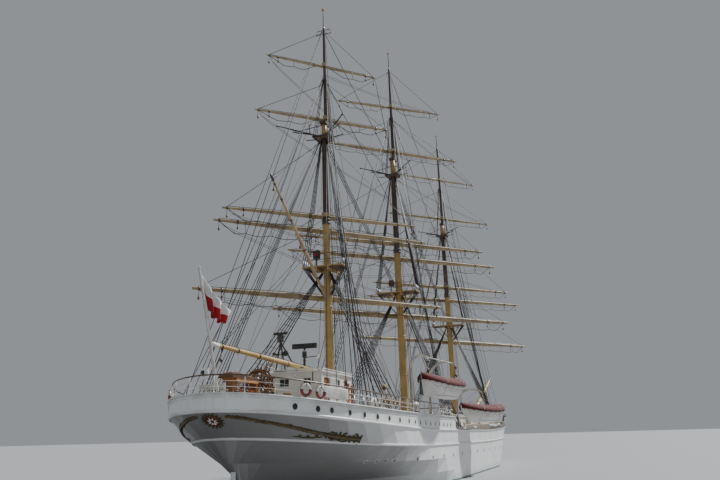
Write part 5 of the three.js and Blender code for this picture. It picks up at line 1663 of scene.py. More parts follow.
def dressHouse(name):
    house, shape = houseWalls[name], Shape()
    look = 3 if name == "chart" else 0
    for y, low, wide, high in house["aft"]:
        frameRound(shape, "aft", y, low, wide, high, house["from"], 1, 0, 1)
    for y, low, wide, high in house["fore"]:
        frameRound(shape, "fore", y, low, wide, high, house["to"], 1, 0, 1)
    for sign in (-1, 1):
        for x, low, wide, high in house["side"]:
            frameRound(shape, "side", x, low, wide, high, house["half"], sign, look if x > -25 else 0, 1)
    for wall, at, low, wide, high in house["doors"]:
        for sign in (-1, 1) if wall == "side" else (1,):
            frameRound(shape, wall, at, low, wide, high, house["half"] if wall == "side" else house["from"], sign, 2)
    # A drip edge and a low coaming round the roof, corner angles and a plinth.
    out, roof = houseTrim["overhang"], house["roof"]
    aft, fore, half = house["from"] - out, house["to"] + out, house["half"] + out
    corners = [(aft, -half), (fore, -half), (fore, half), (aft, half)]
    for (x1, y1), (x2, y2) in zip(corners, corners[1:] + corners[:1]):
        middle, span = ((x1 + x2) / 2, (y1 + y2) / 2), (abs(x2 - x1) + 0.05, abs(y2 - y1) + 0.05)
        shape.box((*middle, roof + 0.09), (span[0], span[1], 0.06))
    for x in (house["from"] - 0.004, house["to"] + 0.004):
        for y in (-house["half"] - 0.004, house["half"] + 0.004):
            shape.box((x, y, (house["floor"] + roof) / 2), (0.05, 0.05, roof - house["floor"] - 0.02))
    for y in (-house["half"] - 0.012, house["half"] + 0.012):
        if name == "midship":
            shape.box(((house["from"] + house["to"]) / 2, y, house["floor"] + 0.1),
                    (house["to"] - house["from"], 0.03, 0.16))
        else:
            shape.box((-24.9, y, house["floor"] + 0.1), (3.8, 0.03, 0.16))
    if name == "chart":
        # Seams, lamps and a notice board without words on the wall that is seen from astern.
        shape.box((house["from"] - 0.015, -1.14, 7.38), (0.03, 0.09, 0.78))
        shape.box((house["from"] - 0.012, -1.22, 7.38), (0.024, 0.05, 0.78), 4)
        for y in (-1.5, 0.05, 1.45):
            shape.box((house["from"] - 0.006, y, 6.4), (0.012, 0.03, 2.6))
        shape.box((-26.5, -house["half"] - 0.025, 7.18), (1.1, 0.04, 0.42))
        shape.box((-26.5, -house["half"] - 0.05, 7.18), (0.96, 0.012, 0.3), 5)
        for y in (-0.05, 1.3):
            shape.turned((house["from"] - 0.01, y, 7.5), (-1, 0, 0),
                    [(0, 0.07), (0.05, 0.075), (0.09, 0.06), (0.15, 0.05), (0.18, 0)], 12, 6)
        for sign in (-1, 1):
            bar = [(-26.6, sign * 1.93, houseTrim["grab"]), (-23.2, sign * 1.93, houseTrim["grab"])]
            shape.tube(bar, 0.02, 6)
            for x in (-26.5, -25.4, -24.3, -23.3):
                shape.tube([(x, sign * 1.79, houseTrim["grab"]), (x, sign * 1.93, houseTrim["grab"])], 0.016, 5)
    shape.piece(f"house_trim_{name}", "houseWhite", "darkGlass", "doorWood", "doorWood", "gearBlack", "hatchGrey",
            "lampWhite")


def doorFittings():
    for side, sign in bothSides:
        shape = Shape()
        outer = sign * (1.75 + 0.03)
        for low, high in ((5.42, 6.2), (6.36, 7.12)):
            for x in (-27.84, -27.36):
                shape.box((x, outer, (low + high) / 2), (0.03, 0.016, high - low))
            for z in (low, high):
                shape.box((-27.6, outer, z), (0.51, 0.016, 0.03))
        shape.turned((-27.36, outer + sign * 0.005, 6.28), (0, sign, 0),
                [(0, 0.03), (0.01, 0.03), (0.015, 0.012), (0.05, 0.012), (0.06, 0.03), (0.08, 0.0)], 10, 1)
        shape.turned((-27.6, outer, 6.78), (0, sign, 0), [(-0.01, 0.15), (0.012, 0.15), (0.016, 0.12),
                (0.01, 0.11)], 20, 1)
        shape.turned((-27.6, outer, 6.78), (0, sign, 0), [(-0.01, 0.11), (0.008, 0.11), (0.01, 0)], 20, 2)
        shape.piece(f"door_fittings_{side}", "doorWood", "brass", "darkGlass", rides=f"chart_house_door_{side}")


# Along the poop: the weather cloth laced to the starboard rail, a gate post, planks and coils, a yellow lamp.
poopThings = {"cloth": (-35.0, -32.95), "clothLow": 0.16, "clothHigh": 0.76, "post": -32.72,
        "planks": (-35.9, -3.0), "lamp": (-28.4, 6.0)}


def railAt(x, sign, up):
    z = sheerAt("rail", x)
    return Vector((x, sideAt(x, z - 0.06, sign).y - sign * poopRail["inset"], z + 0.07 + up))


def poopGear():
    things, shape = poopThings, Shape()
    start, end = things["cloth"]
    columns, rows = 30, 8
    for i in range(columns + 1):
        x = start + (end - start) * i / columns
        foot = railAt(x, -1, 0)
        for k in range(rows + 1):
            up = things["clothLow"] + (things["clothHigh"] - things["clothLow"]) * k / rows
            belly = 0.02 * sin(pi * k / rows) * (0.8 + 0.2 * sin(i * 0.9))
            scallop = 0.014 * abs(sin(pi * i / 5)) * (2 * k / rows - 1)
            shape.points.append((foot.x, foot.y - 0.05 - belly, foot.z + up - scallop))
    n = rows + 1
    for i in range(columns):
        for k in range(rows):
            shape.faces.append([i * n + k, (i + 1) * n + k, (i + 1) * n + k + 1, i * n + k + 1])
            shape.looks.append(0)
            shape.smooth.append(True)
    cloth = shape.piece("weather_cloth", "canvasWhite")
    thick = cloth.modifiers.new("cloth", "SOLIDIFY")
    thick.thickness, thick.offset = 0.01 * modelScale, 0.0
    long = sum((railAt(start + (end - start) * (i + 1) / 20, -1, 0) - railAt(start + (end - start) * i / 20, -1,
            0)).length for i in range(20)) * modelScale
    gear = Shape()
    for i in range(0, columns + 1, 5):
        for k in (0, rows):
            spot = Vector(shape.points[i * n + k])
            bar = Vector((spot.x, spot.y + 0.05, spot.z + (0.09 if k else -0.02)))
            ring = [bar + Vector((0, 0.06 * cos(t), 0.06 * sin(t) - 0.02)) for t in circle(12)]
            gear.tube(ring, 0.01, 4, 0, loop=True)
    foot = railAt(things["post"], -1, 0)
    gear.box((foot.x, foot.y + 0.05, foot.z + 0.52), (0.16, 0.1, 1.16), 1)
    gear.box((foot.x + 0.55, foot.y + 0.05, foot.z + 0.52), (0.1, 0.1, 1.0), 1)
    for up in (0.2, 0.5, 0.8):
        gear.box((foot.x + 0.27, foot.y + 0.05, foot.z + up), (0.5, 0.05, 0.1), 1)
    x, y = things["planks"]
    lean = Matrix.Rotation(radians(-26), 3, "Z")
    for dx, dy, up in ((0, 0, 0.05), (0.1, 0.26, 0.05), (-0.1, -0.24, 0.05), (0.05, 0.1, 0.14),
            (-0.15, -0.13, 0.14), (0.0, 0.0, 0.23)):
        turn = lean @ Matrix.Rotation(radians(random.uniform(-5, 5)), 3, "Z")
        gear.box((x + dx, y + dy, deckAt(x) + up), (1.7, 0.2, 0.07), 2, turn=turn)
    for k in range(5):
        ring = [Vector((x - 0.35 + 0.22 * cos(t), y - 0.1 + 0.22 * sin(t), deckAt(x) + 0.30 + 0.045 * k))
                for t in circle(20)]
        gear.tube(ring, 0.03, 6, 3, loop=True)
    x, z = things["lamp"]
    foot = railAt(x, -1, 0)
    gear.tube([foot + Vector((0, 0.02, 0.6)), foot + Vector((0, 0.02, 1.15))], 0.03, 6, 4)
    gear.upright(foot + Vector((0, 0.02, 1.1)), [(0, 0.06), (0.05, 0.13), (0.2, 0.14), (0.3, 0.1), (0.36, 0)], 14, 5)
    gear.turned(foot + Vector((0, 0.02, 1.2)), (-0.9, -0.3, 0.0), [(0.1, 0.1), (0.16, 0.1), (0.17, 0.0)], 14, 6)
    gear.piece("poop_gear", "paleRope", "varnishedWood", "bareWood", "hempRope", "davitWhite", "sparBuff",
            "darkGlass", bevel=0.004)


hangEnsign()
for name in houseWalls:
    dressHouse(name)
doorFittings()
poopGear()
print("ensign, houses and poop dressed")


# Mastheads: planks under the tops, hoops and sleeves of paint, lamps, and a rail at the after edge of each top.
mastTrim = {"slat": 0.16, "under": 0.03, "hoops": (0.12, 0.3, 0.5, 0.7), "lamp": 1.05, "rail": 0.9}


def onMast(name, along, ahead, side=0.0):
    rake = radians(masts[name]["rake"])
    return Vector((masts[name]["x"] + ahead * cos(rake) - along * sin(rake), side,
            along * cos(rake) + ahead * sin(rake)))


def mastFittings(name):
    mast, shape = masts[name], Shape()
    lean = Matrix.Rotation(-radians(mast["rake"]), 3, "Y")
    way = onMast(name, 1, 0) - onMast(name, 0, 0)
    for level, half, ahead, abaft in ((mast["top"], mast["topHalf"], 0.86, 1.08),
            (mast["cross"] - 0.12, 0.72, 0.75, 0.64)):
        count = int(2 * half / mastTrim["slat"])
        for i in range(count):
            side = -half + 0.04 + (2 * half - 0.08) * (i + 0.5) / count
            reach = ahead - 0.25 * (side / half) ** 2
            shape.box(onMast(name, level - mastTrim["under"], (reach - abaft) / 2, side),
                    (reach + abaft, 0.8 * (2 * half / count), 0.03), turn=lean)
        for side in (-half * 0.82, half * 0.82):
            shape.box(onMast(name, level - 0.07, -0.1, side), (1.5, 0.07, 0.08), 1, turn=lean)
    # The rail of the top.
    top, half = mast["top"] + 0.1, mast["topHalf"]
    posts = [onMast(name, top, -1.08, side) for side in (-half * 0.9, -half * 0.3, half * 0.3, half * 0.9)]
    for p in posts:
        shape.tube([p, p + way * mastTrim["rail"]], 0.022, 6, 1)
    for up in (0.45, 0.9):
        shape.tube([posts[0] + way * up, posts[-1] + way * up], 0.02, 6, 1)
    for share in mastTrim["hoops"]:
        z = mast["foot"] + (mast["cap"] - mast["foot"]) * share + 0.6
        radius = radiusAt(name, z)
        shape.turned(onMast(name, z, 0), way, [(0, radius), (0, radius + 0.025), (0.11, radius + 0.025),
                (0.11, radius - 0.01)], 20, 2)
    foot = mast["foot"]
    radius = radiusAt(name, foot)
    shape.turned(onMast(name, foot, 0), way, [(0.0, radius + 0.02), (0.0, radius + 0.16), (0.14, radius + 0.13),
            (0.3, radius + 0.04), (0.32, radius)], 24, 1)
    for low, high, ahead, radius in ((mast["cross"] - 0.02, mast["head"] - 0.32, 0.0, mast["radii"][2] + 0.008),
            (mast["cross"] + 0.1, mast["head"] - 0.32, topgallantAhead, mast["radii"][3] + 0.012)):
        shape.turned(onMast(name, low, ahead), way, [(0, radius), (high - low, radius)], 18, 2)
    for z in (mast["cap"] - 0.24, mast["cap"] + 0.02):
        radius = radiusAt(name, z) + 0.05
        shape.turned(onMast(name, z, 0), way, [(0, radius - 0.05), (0, radius), (0.2, radius),
                (0.2, radius - 0.06)], 20, 3)
    # Lamps: one on the top, one at the crosstrees, and a ball and a rod over the truck.
    place = onMast(name, mast["top"] + mastTrim["lamp"], -0.55, 0.62)
    shape.box(place, (0.34, 0.46, 0.62), 1, turn=lean)
    shape.turned(place + Vector((-0.16, 0, 0)), (-1, 0, 0), [(0, 0.15), (0.04, 0.15), (0.06, 0.0)], 14, 5)
    shape.box(onMast(name, mast["top"] + 0.42, -0.55, 0.62), (0.06, 0.06, 0.7), 1, turn=lean)
    for sign in (-1, 1):
        tip, heel = onMast(name, mast["cross"] + 0.25, -3.0, sign * 2.7), onMast(name, mast["cross"] + 0.02, -0.2,
                sign * 0.2)
        shape.tube([heel, heel.lerp(tip, 0.6), tip], [0.065, 0.055, 0.035], 8, 1)
        shape.tube([heel.lerp(tip, 0.5), onMast(name, mast["cross"] + 1.0, -0.1, sign * 0.18)], 0.03, 6, 1)
        shape.tube([heel.lerp(tip, 0.62), onMast(name, mast["cross"] + 0.06, 0.1, sign * 1.55)], 0.022, 5, 1)
        for share in (0.62, 0.98):
            shape.turned(heel.lerp(tip, share), tip - heel, [(-0.05, 0.05), (-0.05, 0.085), (0.05, 0.085),
                    (0.05, 0.05)], 10, 3)
    place = onMast(name, mast["cross"] + 1.05, -0.75, 0.9)
    shape.box(onMast(name, mast["cross"] + 0.55, -0.75, 0.9), (0.05, 0.05, 0.9), 1, turn=lean)
    shape.upright(place, [(-0.16, 0.1), (-0.12, 0.17), (0.12, 0.17), (0.18, 0.08), (0.24, 0.02)], 12, 4)
    truck = onMast(name, mast["truck"], topgallantAhead)
    shape.upright(truck - upBy(0.14), [(0, 0.08), (0.03, 0.15), (0.08, 0.15), (0.11, 0.06), (0.12, 0)], 14, 2)
    if name == "mizzen":
        for z, wide in ((mast["pole"] - 0.55, 0.62), (mast["pole"] - 0.2, 0.5)):
            shape.tube([onMast(name, z, topgallantAhead, -wide), onMast(name, z, topgallantAhead, wide)], 0.028, 6, 1)
            for side in (-wide, wide):
                shape.tube([onMast(name, z - 0.15, topgallantAhead, side),
                        onMast(name, z + 0.3, topgallantAhead, side)], 0.018, 5, 1)
    shape.piece(f"mast_fittings_{name}", "topBrown", "gearBlack", "sparBuff", "darkMetal", "davitWhite", "lampRed")


# Running ropes that come down from each mast to the pins at the rail, by the height they leave the mast.
falls = {"every": 0.62, "from": (0.2, -0.9, 0.1, -0.6, 0.3, -0.4, 0.0), "size": 0.014, "pin": 0.30, "rail": 0.5}


def pinRail(shape, start, end, sign, inset=0.30, low=0.0):
    count = max(4, int(abs(end - start) / 0.42))
    spots = []
    for i in range(count + 1):
        x = start + (end - start) * i / count
        z = bulwarkTop(x) - (-0.62 if x < breaks["poop"] else 0.42) - low
        y = sideAt(x, bulwarkTop(x) - 0.15, sign).y - sign * inset
        spots.append(Vector((x, y, z)))
    way = (spots[-1] - spots[0]).normalized()
    turn = Matrix((way, upBy(1).cross(way), (0, 0, 1))).transposed()
    for a, b in zip(spots, spots[1:]):
        shape.box((a + b) / 2, ((b - a).length + 0.02, 0.15, 0.07), turn=turn)
    for spot in spots:
        shape.upright(spot - upBy(0.2), [(0, 0.012), (0.04, 0.022), (0.22, 0.022), (0.26, 0.035), (0.36, 0.03),
                (0.4, 0.0)], 7, 1)
    for spot in spots[::2]:
        drop = random.uniform(0.26, 0.36)
        for k in range(3):
            ring = [spot + Vector((0.075 * cos(t) * (1 + 0.15 * k), -sign * (0.1 + 0.02 * k),
                    -drop * 0.6 - drop * sin(t))) for t in circle(12)]
            shape.tube(ring, 0.02, 4, 2, loop=True)
    return spots


def mastFalls(name):
    mast, plan = masts[name], shroudSets[name]
    rails, ropesDown = Shape(), Shape()
    heights = (mast["top"] - 0.6, mast["cap"] - 0.8, mast["top"] + 1.4, mast["cross"] - 0.9, mast["cap"] + 1.2,
            mast["hounds"] - 0.5, mast["cross"] - 0.4)
    for sign in (-1, 1):
        start, end = plan["feet"][0] + 0.9, plan["feet"][1] + 0.2
        spots = pinRail(rails, start, end, sign)
        for i, spot in enumerate(spots[1::2]):
            z = heights[i % len(heights)]
            ahead = topgallantAhead if z > mast["head"] else 0.0
            head = mastAt(name, z, ahead - 0.15 + 0.1 * (i % 3), sign * (radiusAt(name, z) + 0.12 + 0.05 * (i % 2)))
            ropesDown.tube([spot + upBy(0.06), head], falls["size"], 4, int(i % 5 == 3))
    # Pins round the foot of the mast.
    x, deck = mastAt(name, mast["foot"]).x, mast["foot"] - 0.02
    frameHalf, frameUp = 1.0, 0.95
    for dx, dy in ((-0.95, -frameHalf), (-0.95, frameHalf), (0.75, -frameHalf), (0.75, frameHalf)):
        rails.box((x + dx, dy, deck + frameUp / 2 - 0.2), (0.14, 0.14, frameUp + 0.5))
    for dy in (-frameHalf, frameHalf):
        rails.box((x - 0.1, dy, deck + frameUp), (1.95, 0.18, 0.09))
    rails.box((x - 0.95, 0, deck + frameUp), (0.18, 2 * frameHalf, 0.09))
    pins = [(x - 0.7 + 0.33 * k, dy) for k in range(5) for dy in (-frameHalf, frameHalf)] + [(x - 0.95,
            -0.7 + 0.35 * k) for k in range(5)]
    for k, (px, py) in enumerate(pins):
        rails.upright((px, py, deck + frameUp - 0.22), [(0, 0.012), (0.04, 0.022), (0.24, 0.022), (0.3, 0.035),
                (0.4, 0.03), (0.44, 0.0)], 7, 1)
        if k % 2 == 0:
            z = heights[k % len(heights)] - 0.2
            ropesDown.tube([(px, py, deck + frameUp + 0.05), mastAt(name, z, -0.25 if px < x - 0.8 else 0.05,
                    copysign(radiusAt(name, z) + 0.08, py or 1))], falls["size"], 4, int(k % 8 == 4))
    rails.piece(f"pin_rails_{name}", "varnishedWood", "bareWood", "hempRope", bevel=0.004)
    ropesDown.piece(f"falls_{name}", "darkRope", "hempRope")


# The spanker's boom and gaff: hoops, white tip, blocks, the boom's topping lifts and the gaff's spans.
spars = {"boom": {"foot": (-22.904, 0, 7.98), "way": (-14.52, 0.79, 0.57), "radii": (0.13, 0.17, 0.1)},
         "gaff": {"foot": (-23.11, 0, 13.55), "way": (-9.25, 0, 6.3), "radii": (0.1, 0.13, 0.06)}}


def sparAt(name, share, drop=0.0):
    return Vector(spars[name]["foot"]) + Vector(spars[name]["way"]) * share - upBy(drop)


def sparRadius(name, share):
    first, middle, last = spars[name]["radii"]
    return first + (middle - first) * share * 2 if share < 0.5 else middle + (last - middle) * (share - 0.5) * 2


def sparFittings():
    for name, body in (("boom", "spanker_boom"), ("gaff", "gaff")):
        shape = Shape()
        way = Vector(spars[name]["way"]).normalized()
        for share in (0.18, 0.42, 0.66, 0.82, 0.93):
            radius = sparRadius(name, share)
            shape.turned(sparAt(name, share), way, [(0, radius), (0, radius + 0.02), (0.09, radius + 0.02),
                    (0.09, radius)], 16, 1)
            shape.tube([sparAt(name, share, radius), sparAt(name, share, radius + 0.13)], 0.02, 5, 1)
        length = Vector(spars[name]["way"]).length
        tip = sparAt(name, 0.955)
        shape.turned(tip, way, [(0, sparRadius(name, 0.955) + 0.01), (length * 0.045, sparRadius(name, 1) + 0.01),
                (length * 0.045 + 0.05, 0.03)], 16, 2 if name == "boom" else 1)
        rod = [sparAt(name, 0.06 + 0.86 * i / 30) + upBy(sparRadius(name, 0.06 + 0.86 * i / 30) + 0.05)
                for i in range(31)]
        shape.tube(rod, 0.016, 5, 1)
        for share, drop in ((0.935, 0.55), (0.60, 0.3), (0.985, 0.75)) if name == "boom" else ((0.95, 0.4),
                (0.5, 0.25)):
            radius = sparRadius(name, share)
            hang = sparAt(name, share, radius + drop)
            shape.tube([sparAt(name, share, radius), hang], 0.018, 5)
            pulley(shape, hang - upBy(0.09), 0.11, 3)
        if name == "boom":
            shape.box(sparAt(name, 0.3) + Vector((0, 0.15, -0.02)), (0.5, 0.06, 0.07), 1)
            shape.box(sparAt(name, 0.3) - Vector((0, 0.15, 0.02)), (0.5, 0.06, 0.07), 1)
        shape.piece(f"{name}_fittings", "darkRope", "darkMetal", "houseWhite", "topBrown", "darkMetal", rides=body)


def blendedRopes(name, lines, look="wireRope", size=0.02):
    shape = Shape()
    for a, b in lines:
        shape.tube([Vector(a).lerp(Vector(b), i / 16) for i in range(17)], size, 5)
    piece = shape.piece(name, look, rides=None)
    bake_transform(piece)


def sparRopes():
    tip, mastX = sparAt("boom", 0.94), mastAt("mizzen", 18.6).x
    lines = [((mastX - 0.2, s * 0.32, 18.6), tip + Vector((0, s * 0.1, 0.08))) for s in (-1, 1)]
    blendedRopes("boom_topping_lifts", lines)
    tip = sparAt("gaff", 0.96)
    head = mastAt("mizzen", 26.1, -0.25)
    lines = [(head, tip + upBy(0.08)), (head - upBy(0.6), sparAt("gaff", 0.6) + upBy(0.12))]
    blendedRopes("gaff_spans", lines)
    # Wires from the mizzen's upper mast down to the poop's rail at the quarters.
    shape = Shape()
    for sign in (-1, 1):
        for x, z, ahead in ((-32.9, 31.6, topgallantAhead), (-33.8, 36.0, topgallantAhead), (-30.6, 26.2, 0.0),
                (-31.4, 26.2, 0.0), (-34.6, 26.3, 0.0)):
            foot = railAt(x, sign, 0.0)
            head = mastAt("mizzen", z, ahead - 0.1, sign * (radiusAt("mizzen", z) + 0.02))
            shape.tube([foot + (head - foot).normalized() * 0.7, head], rigging["backstay"] * 0.8, 5)
            shape.tube([foot, foot + (head - foot).normalized() * 0.7], 0.045, 6, 1)
    shape.piece("quarter_wires", "wireRope", "galvanised")


# Deck gear: covers of the hatches (length, breadth, height), cowls, capstans, windlass, bitts and chains.
hatches = ((18.6, 2.4, 2.6, 0.75), (3.2, 2.8, 2.8, 0.75), (-6.2, 2.2, 2.4, 0.75))
cowls = ((-20.3, 2.35, "rail", -0.15), (-11.0, 3.2, "rail", -0.15), (-1.2, 3.4, "lower", 0.05),
        (5.3, 2.9, "lower", 0.05), (17.0, 3.2, "lower", 0.05), (27.2, 2.2, "upper", 0.35))
bitts = ((-19.0, "rail", -0.15), (-0.9, "lower", 0.05), (9.5, "lower", 0.05), (20.3, "lower", 0.05),
        (32.6, "upper", 0.35))


def capstan(shape, x, y, deck):
    shape.upright((x, y, deck), [(0, 0.48), (0.08, 0.48), (0.12, 0.3), (0.3, 0.24), (0.55, 0.23), (0.72, 0.3),
            (0.76, 0.38), (0.92, 0.38), (0.96, 0.3), (0.98, 0.0)], 24)
    for k in range(8):
        turn = 2 * pi * k / 8
        shape.box((x + 0.27 * cos(turn), y + 0.27 * sin(turn), deck + 0.42), (0.08, 0.05, 0.5),
                turn=Matrix.Rotation(turn, 3, "Z"))
        shape.box((x + 0.38 * cos(turn), y + 0.38 * sin(turn), deck + 0.84), (0.02, 0.09, 0.08), 1,
                turn=Matrix.Rotation(turn, 3, "Z"))


def cowl(shape, x, y, deck):
    path, radii = [Vector((x, y, deck - 0.02)), Vector((x, y, deck + 0.9))], [0.17, 0.17]
    for k in range(1, 8):
        turn = radians(90 * k / 7)
        path.append(Vector((x + 0.3 * (1 - cos(turn)), y, deck + 0.9 + 0.3 * sin(turn))))
        radii.append(0.17 + 0.13 * (k / 7) ** 2)
    path.append(path[-1] + Vector((0.12, 0, 0)))
    radii.append(0.33)
    shape.tube(path, radii, 16, 1)
    mouth = path[-1]
    shape.turned(mouth - Vector((0.01, 0, 0)), (1, 0, 0), [(0, 0.3), (0.02, 0.345), (0.05, 0.33), (0.03, 0.30)], 20,
            1)
    shape.turned(mouth - Vector((0.02, 0, 0)), (1, 0, 0), [(0.0, 0.29), (0.035, 0.29), (0.036, 0)], 20, 2)
    shape.upright((x, y, deck), [(0, 0.26), (0.04, 0.25), (0.06, 0.18)], 16, 1)


def chainAlong(shape, path, size, look):
    path = [Vector(p) for p in path]
    marks = alongPath(path, size * 2.6)
    for k, (a, b) in enumerate(zip(marks, marks[1:])):
        way = (b - a).normalized()
        side = way.orthogonal().normalized()
        if k % 2:
            side = way.cross(side)
        ring = [a + way * (cos(t) * size * 1.9) + side * (sin(t) * size * 1.1) for t in circle(10)]
        shape.tube(ring, size * 0.45, 5, look, loop=True)


def deckGear():
    shape = Shape()
    for x, length, wide, high in hatches:
        top = sheerAt("lower", x) + 0.05 + high
        shape.box((x, 0, top + 0.035), (length + 0.1, wide + 0.1, 0.07))
        for sign in (-1, 1):
            shape.box((x, sign * (wide / 2 + 0.06), top - 0.06), (length + 0.16, 0.03, 0.22))
            shape.box((x + sign * (length / 2 + 0.06), 0, top - 0.06), (0.03, wide + 0.16, 0.22))
            shape.box((x, sign * (wide / 2 + 0.09), top - 0.1), (length, 0.03, 0.06), 1)
            for k in range(5):
                shape.box((x - length * 0.4 + length * 0.2 * k, sign * (wide / 2 + 0.12), top - 0.1),
                        (0.07, 0.06, 0.14), 2)
        for dx in (-0.3, 0.3):
            shape.box((x + dx * length, 0, top + 0.085), (0.09, wide + 0.2, 0.03), 1)
    shape.piece("hatch_covers", "canvasGrey", "varnishedWood", "darkMetal", bevel=0.006)
    gear = Shape()
    for x, line, lift in bitts:
        for sign in (-1, 1):
            deck = sheerAt(line, x) + lift
            bollardPair(gear, x, sideAt(x, deck + 0.4, sign).y - sign * 0.75, deck, size=0.95, look=0)
    for x, y, line, lift in cowls:
        for sign in (-1, 1):
            cowl(gear, x, sign * y, sheerAt(line, x) + lift)
    capstan(gear, -15.6, 0, deckAt(-15.6))
    capstan(gear, 33.4, 0, sheerAt("upper", 33.4) + 0.35)
    # The windlass stands on its bed on the forecastle.
    bed = sheerAt("upper", 29.0) + 0.35 + 0.6
    for sign in (-1, 1):
        gear.turned((29.0, sign * 0.12, bed + 0.38), (0, sign, 0),
                [(0, 0.2), (0.1, 0.2), (0.12, 0.36), (0.2, 0.3), (0.3, 0.3), (0.38, 0.36), (0.4, 0.2), (0.62, 0.2),
                (0.66, 0.28), (0.9, 0.2), (1.0, 0.26), (1.02, 0)], 20)
        gear.box((29.0, sign * 0.62, bed + 0.18), (0.5, 0.1, 0.42), 1)
    gear.box((28.4, 0, bed + 0.22), (0.5, 0.6, 0.5), 1)
    gear.box((31.9, 0, sheerAt("upper", 31.9) + 0.37), (0.9, 1.1, 0.12))
    for side, sign in bothSides:
        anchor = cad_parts[f"anchor_{side}"].data
        head = max((v.co for v in anchor.vertices), key=lambda co: co.z) / modelScale
        start = Vector((head.x + 0.15, sign * 12, head.z + 0.75)) * modelScale
        place, normal = hullTree.ray_cast(start, Vector((0, -sign, 0)))[:2]
        place = place / modelScale
        gear.turned(place, normal, [(-0.05, 0.34), (0.05, 0.32), (0.09, 0.24), (0.04, 0.17), (0.0, 0.17)], 20, 1)
        gear.turned(place, normal, [(-0.03, 0.18), (0.012, 0.17), (0.013, 0)], 18)
        chainAlong(gear, [head - upBy(0.05), place + normal * 0.16], 0.07, 0)
        deck = sheerAt("upper", 31.6) + 0.35
        chainAlong(gear, [(29.1, sign * 0.34, bed + 0.7), (30.0, sign * 0.5, bed + 0.3),
                (31.5, sign * 0.9, deck + 0.06)], 0.05, 0)
        gear.upright((31.6, sign * 0.95, deck - 0.01), [(0, 0.24), (0.08, 0.22), (0.1, 0.14), (0.02, 0.12)], 16)
    gear.piece("deck_gear", "gearBlack", "davitWhite", "ventRed")
    # The companionway's doors and its sliding hood.
    hood = Shape()
    deck = deckAt(-12.4)
    hood.box((-13.52, 0, deck + 0.52), (0.04, 1.0, 0.98))
    for y in (-0.25, 0.25):
        for z in (0.3, 0.76):
            hood.box((-13.55, y, deck + z), (0.03, 0.36, 0.34), 1)
    hood.turned((-13.55, 0.06, deck + 0.55), (-1, 0, 0), [(0, 0.03), (0.03, 0.012), (0.06, 0.03), (0.07, 0)], 10, 2)
    for sign in (-1, 1):
        hood.box((-12.4, sign * 0.56, deck + 1.14), (2.1, 0.06, 0.07), 1)
        hood.tube([(-13.4, sign * 0.95, deck + 1.35), (-11.4, sign * 0.95, deck + 1.35)], 0.025, 6, 2)
        for x in (-13.4, -12.4, -11.4):
            hood.tube([(x, sign * 0.95, deck + 1.08), (x, sign * 0.95, deck + 1.35)], 0.02, 6, 2)
    hood.piece("companionway", "doorWood", "varnishedWood", "brass", bevel=0.005)


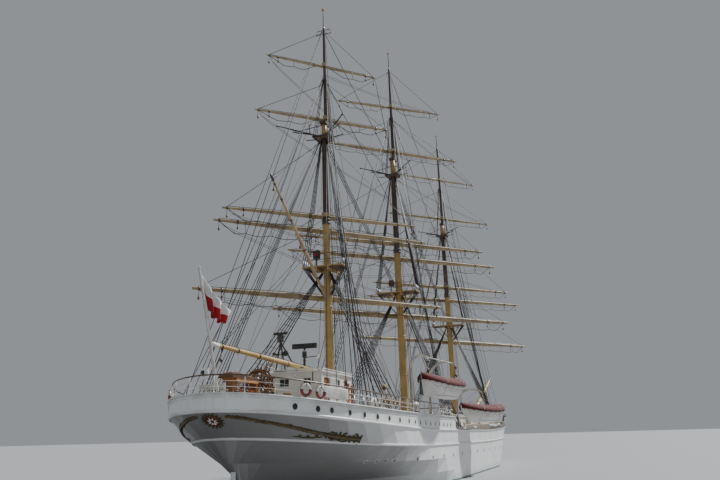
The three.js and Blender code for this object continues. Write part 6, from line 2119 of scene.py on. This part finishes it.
def radarFittings():
    shape = Shape()
    shape.upright((-25.3, 0.75, 7.88), [(0, 0.26), (0.05, 0.26), (0.08, 0.12)], 16)
    shape.tube([(-25.3, 0.75, 9.0), (-25.3, -0.23, 9.06)], 0.03, 6)
    shape.upright((-25.3, -0.23, 9.02), [(-0.12, 0.07), (-0.08, 0.1), (0.1, 0.1), (0.16, 0.03)], 12, 2)
    for z in (8.2, 8.5, 8.8):
        shape.upright((-25.3, 0.75, z), [(0, 0.09), (0, 0.115), (0.05, 0.115), (0.05, 0.09)], 12, 1)
    shape.tube([(-28.3, 1.6, 8.95), (-28.3, 0.55, 8.95)], 0.03, 6)
    shape.turned((-28.42, 0.65, 8.95), (-1, 0, 0), [(-0.1, 0.07), (0.0, 0.1), (0.14, 0.19), (0.16, 0.19),
            (0.1, 0.06)], 16, 1)
    shape.turned((-28.42, 1.5, 8.95), (-1, 0, 0), [(-0.1, 0.07), (0.0, 0.09), (0.1, 0.12), (0.12, 0)], 14, 1)
    shape.tube([(-28.05, 1.15, 7.9), (-28.15, 1.15, 9.6)], 0.02, 6, 1)
    for k in range(9):
        z = 8.0 + 0.18 * k
        shape.box((-28.16, 1.15, z), (0.02, 0.28, 0.02))
    shape.piece("radar_fittings", "gearBlack", "darkMetal", "lampWhite")
    for name, place, length, wide, high in (("large", (-25.3, 0.75, 9.62), 1.8, 0.22, 0.34),
            ("small", (-28.3, 1.15, 10.17), 1.0, 0.14, 0.14)):
        face = Shape()
        x, y, z = place
        low = 0.05 if name == "small" else 0.0
        for k in range(9):
            at = -length / 2 + length * (k + 0.5) / 9
            for sign in (-1, 1):
                face.box((x + sign * (wide / 2 + 0.008), y + at, z + low + high / 2), (0.016, 0.03, high * 0.86))
        for sign in (-1, 1):
            for up in (0.08, 0.92):
                face.box((x + sign * (wide / 2 + 0.008), y, z + low + high * up), (0.02, length * 0.99, 0.03))
        face.piece(f"scanner_face_{name}", "darkMetal", rides=f"radar_scanner_{name}")


for name in masts:
    mastFittings(name)
    mastFalls(name)
sparFittings()
sparRopes()
deckGear()
radarFittings()
print("masts, spars and decks dressed")


# The studio: a pale floor, an even sky, and soft suns by name, where each stands, its strength and its width.
studio = {"floorReach": 700.0, "floorTone": (0.31, 0.32, 0.335, 1), "skyTone": (0.86, 0.90, 0.96, 1), "sky": 0.34}
lights = (("keyLight", (0.63, -0.33, 0.71), 6.0, 3), ("fillLight", (-0.75, -0.6, 0.4), 0.12, 60))


def makeStage():
    floor = bpy.data.meshes.new("floor")
    reach = studio["floorReach"]
    floor.from_pydata([(-reach, -reach, 0), (reach, -reach, 0), (reach, reach, 0), (-reach, reach, 0)], [],
            [(0, 1, 2, 3)])
    ground = bpy.data.objects.new("floor", floor)
    bpy.context.scene.collection.objects.link(ground)
    plain = newFinish("floorPale", roughness=0.85, specular=0.2)
    shaderOf(plain).inputs["Base Color"].default_value = studio["floorTone"]
    floor.materials.append(plain)
    sky = bpy.data.worlds.new("studio")
    sky.use_nodes = True
    dome = sky.node_tree.nodes["Background"]
    dome.inputs["Color"].default_value = studio["skyTone"]
    dome.inputs["Strength"].default_value = studio["sky"]
    bpy.context.scene.world = sky
    for label, towards, strength, spread in lights:
        lamp = bpy.data.lights.new(label, "SUN")
        lamp.energy, lamp.angle = strength, radians(spread)
        holder = bpy.data.objects.new(label, lamp)
        holder.rotation_euler = Vector(towards).to_track_quat("Z", "Y").to_euler()
        bpy.context.scene.collection.objects.link(holder)


makeStage()
print("stage and light set")
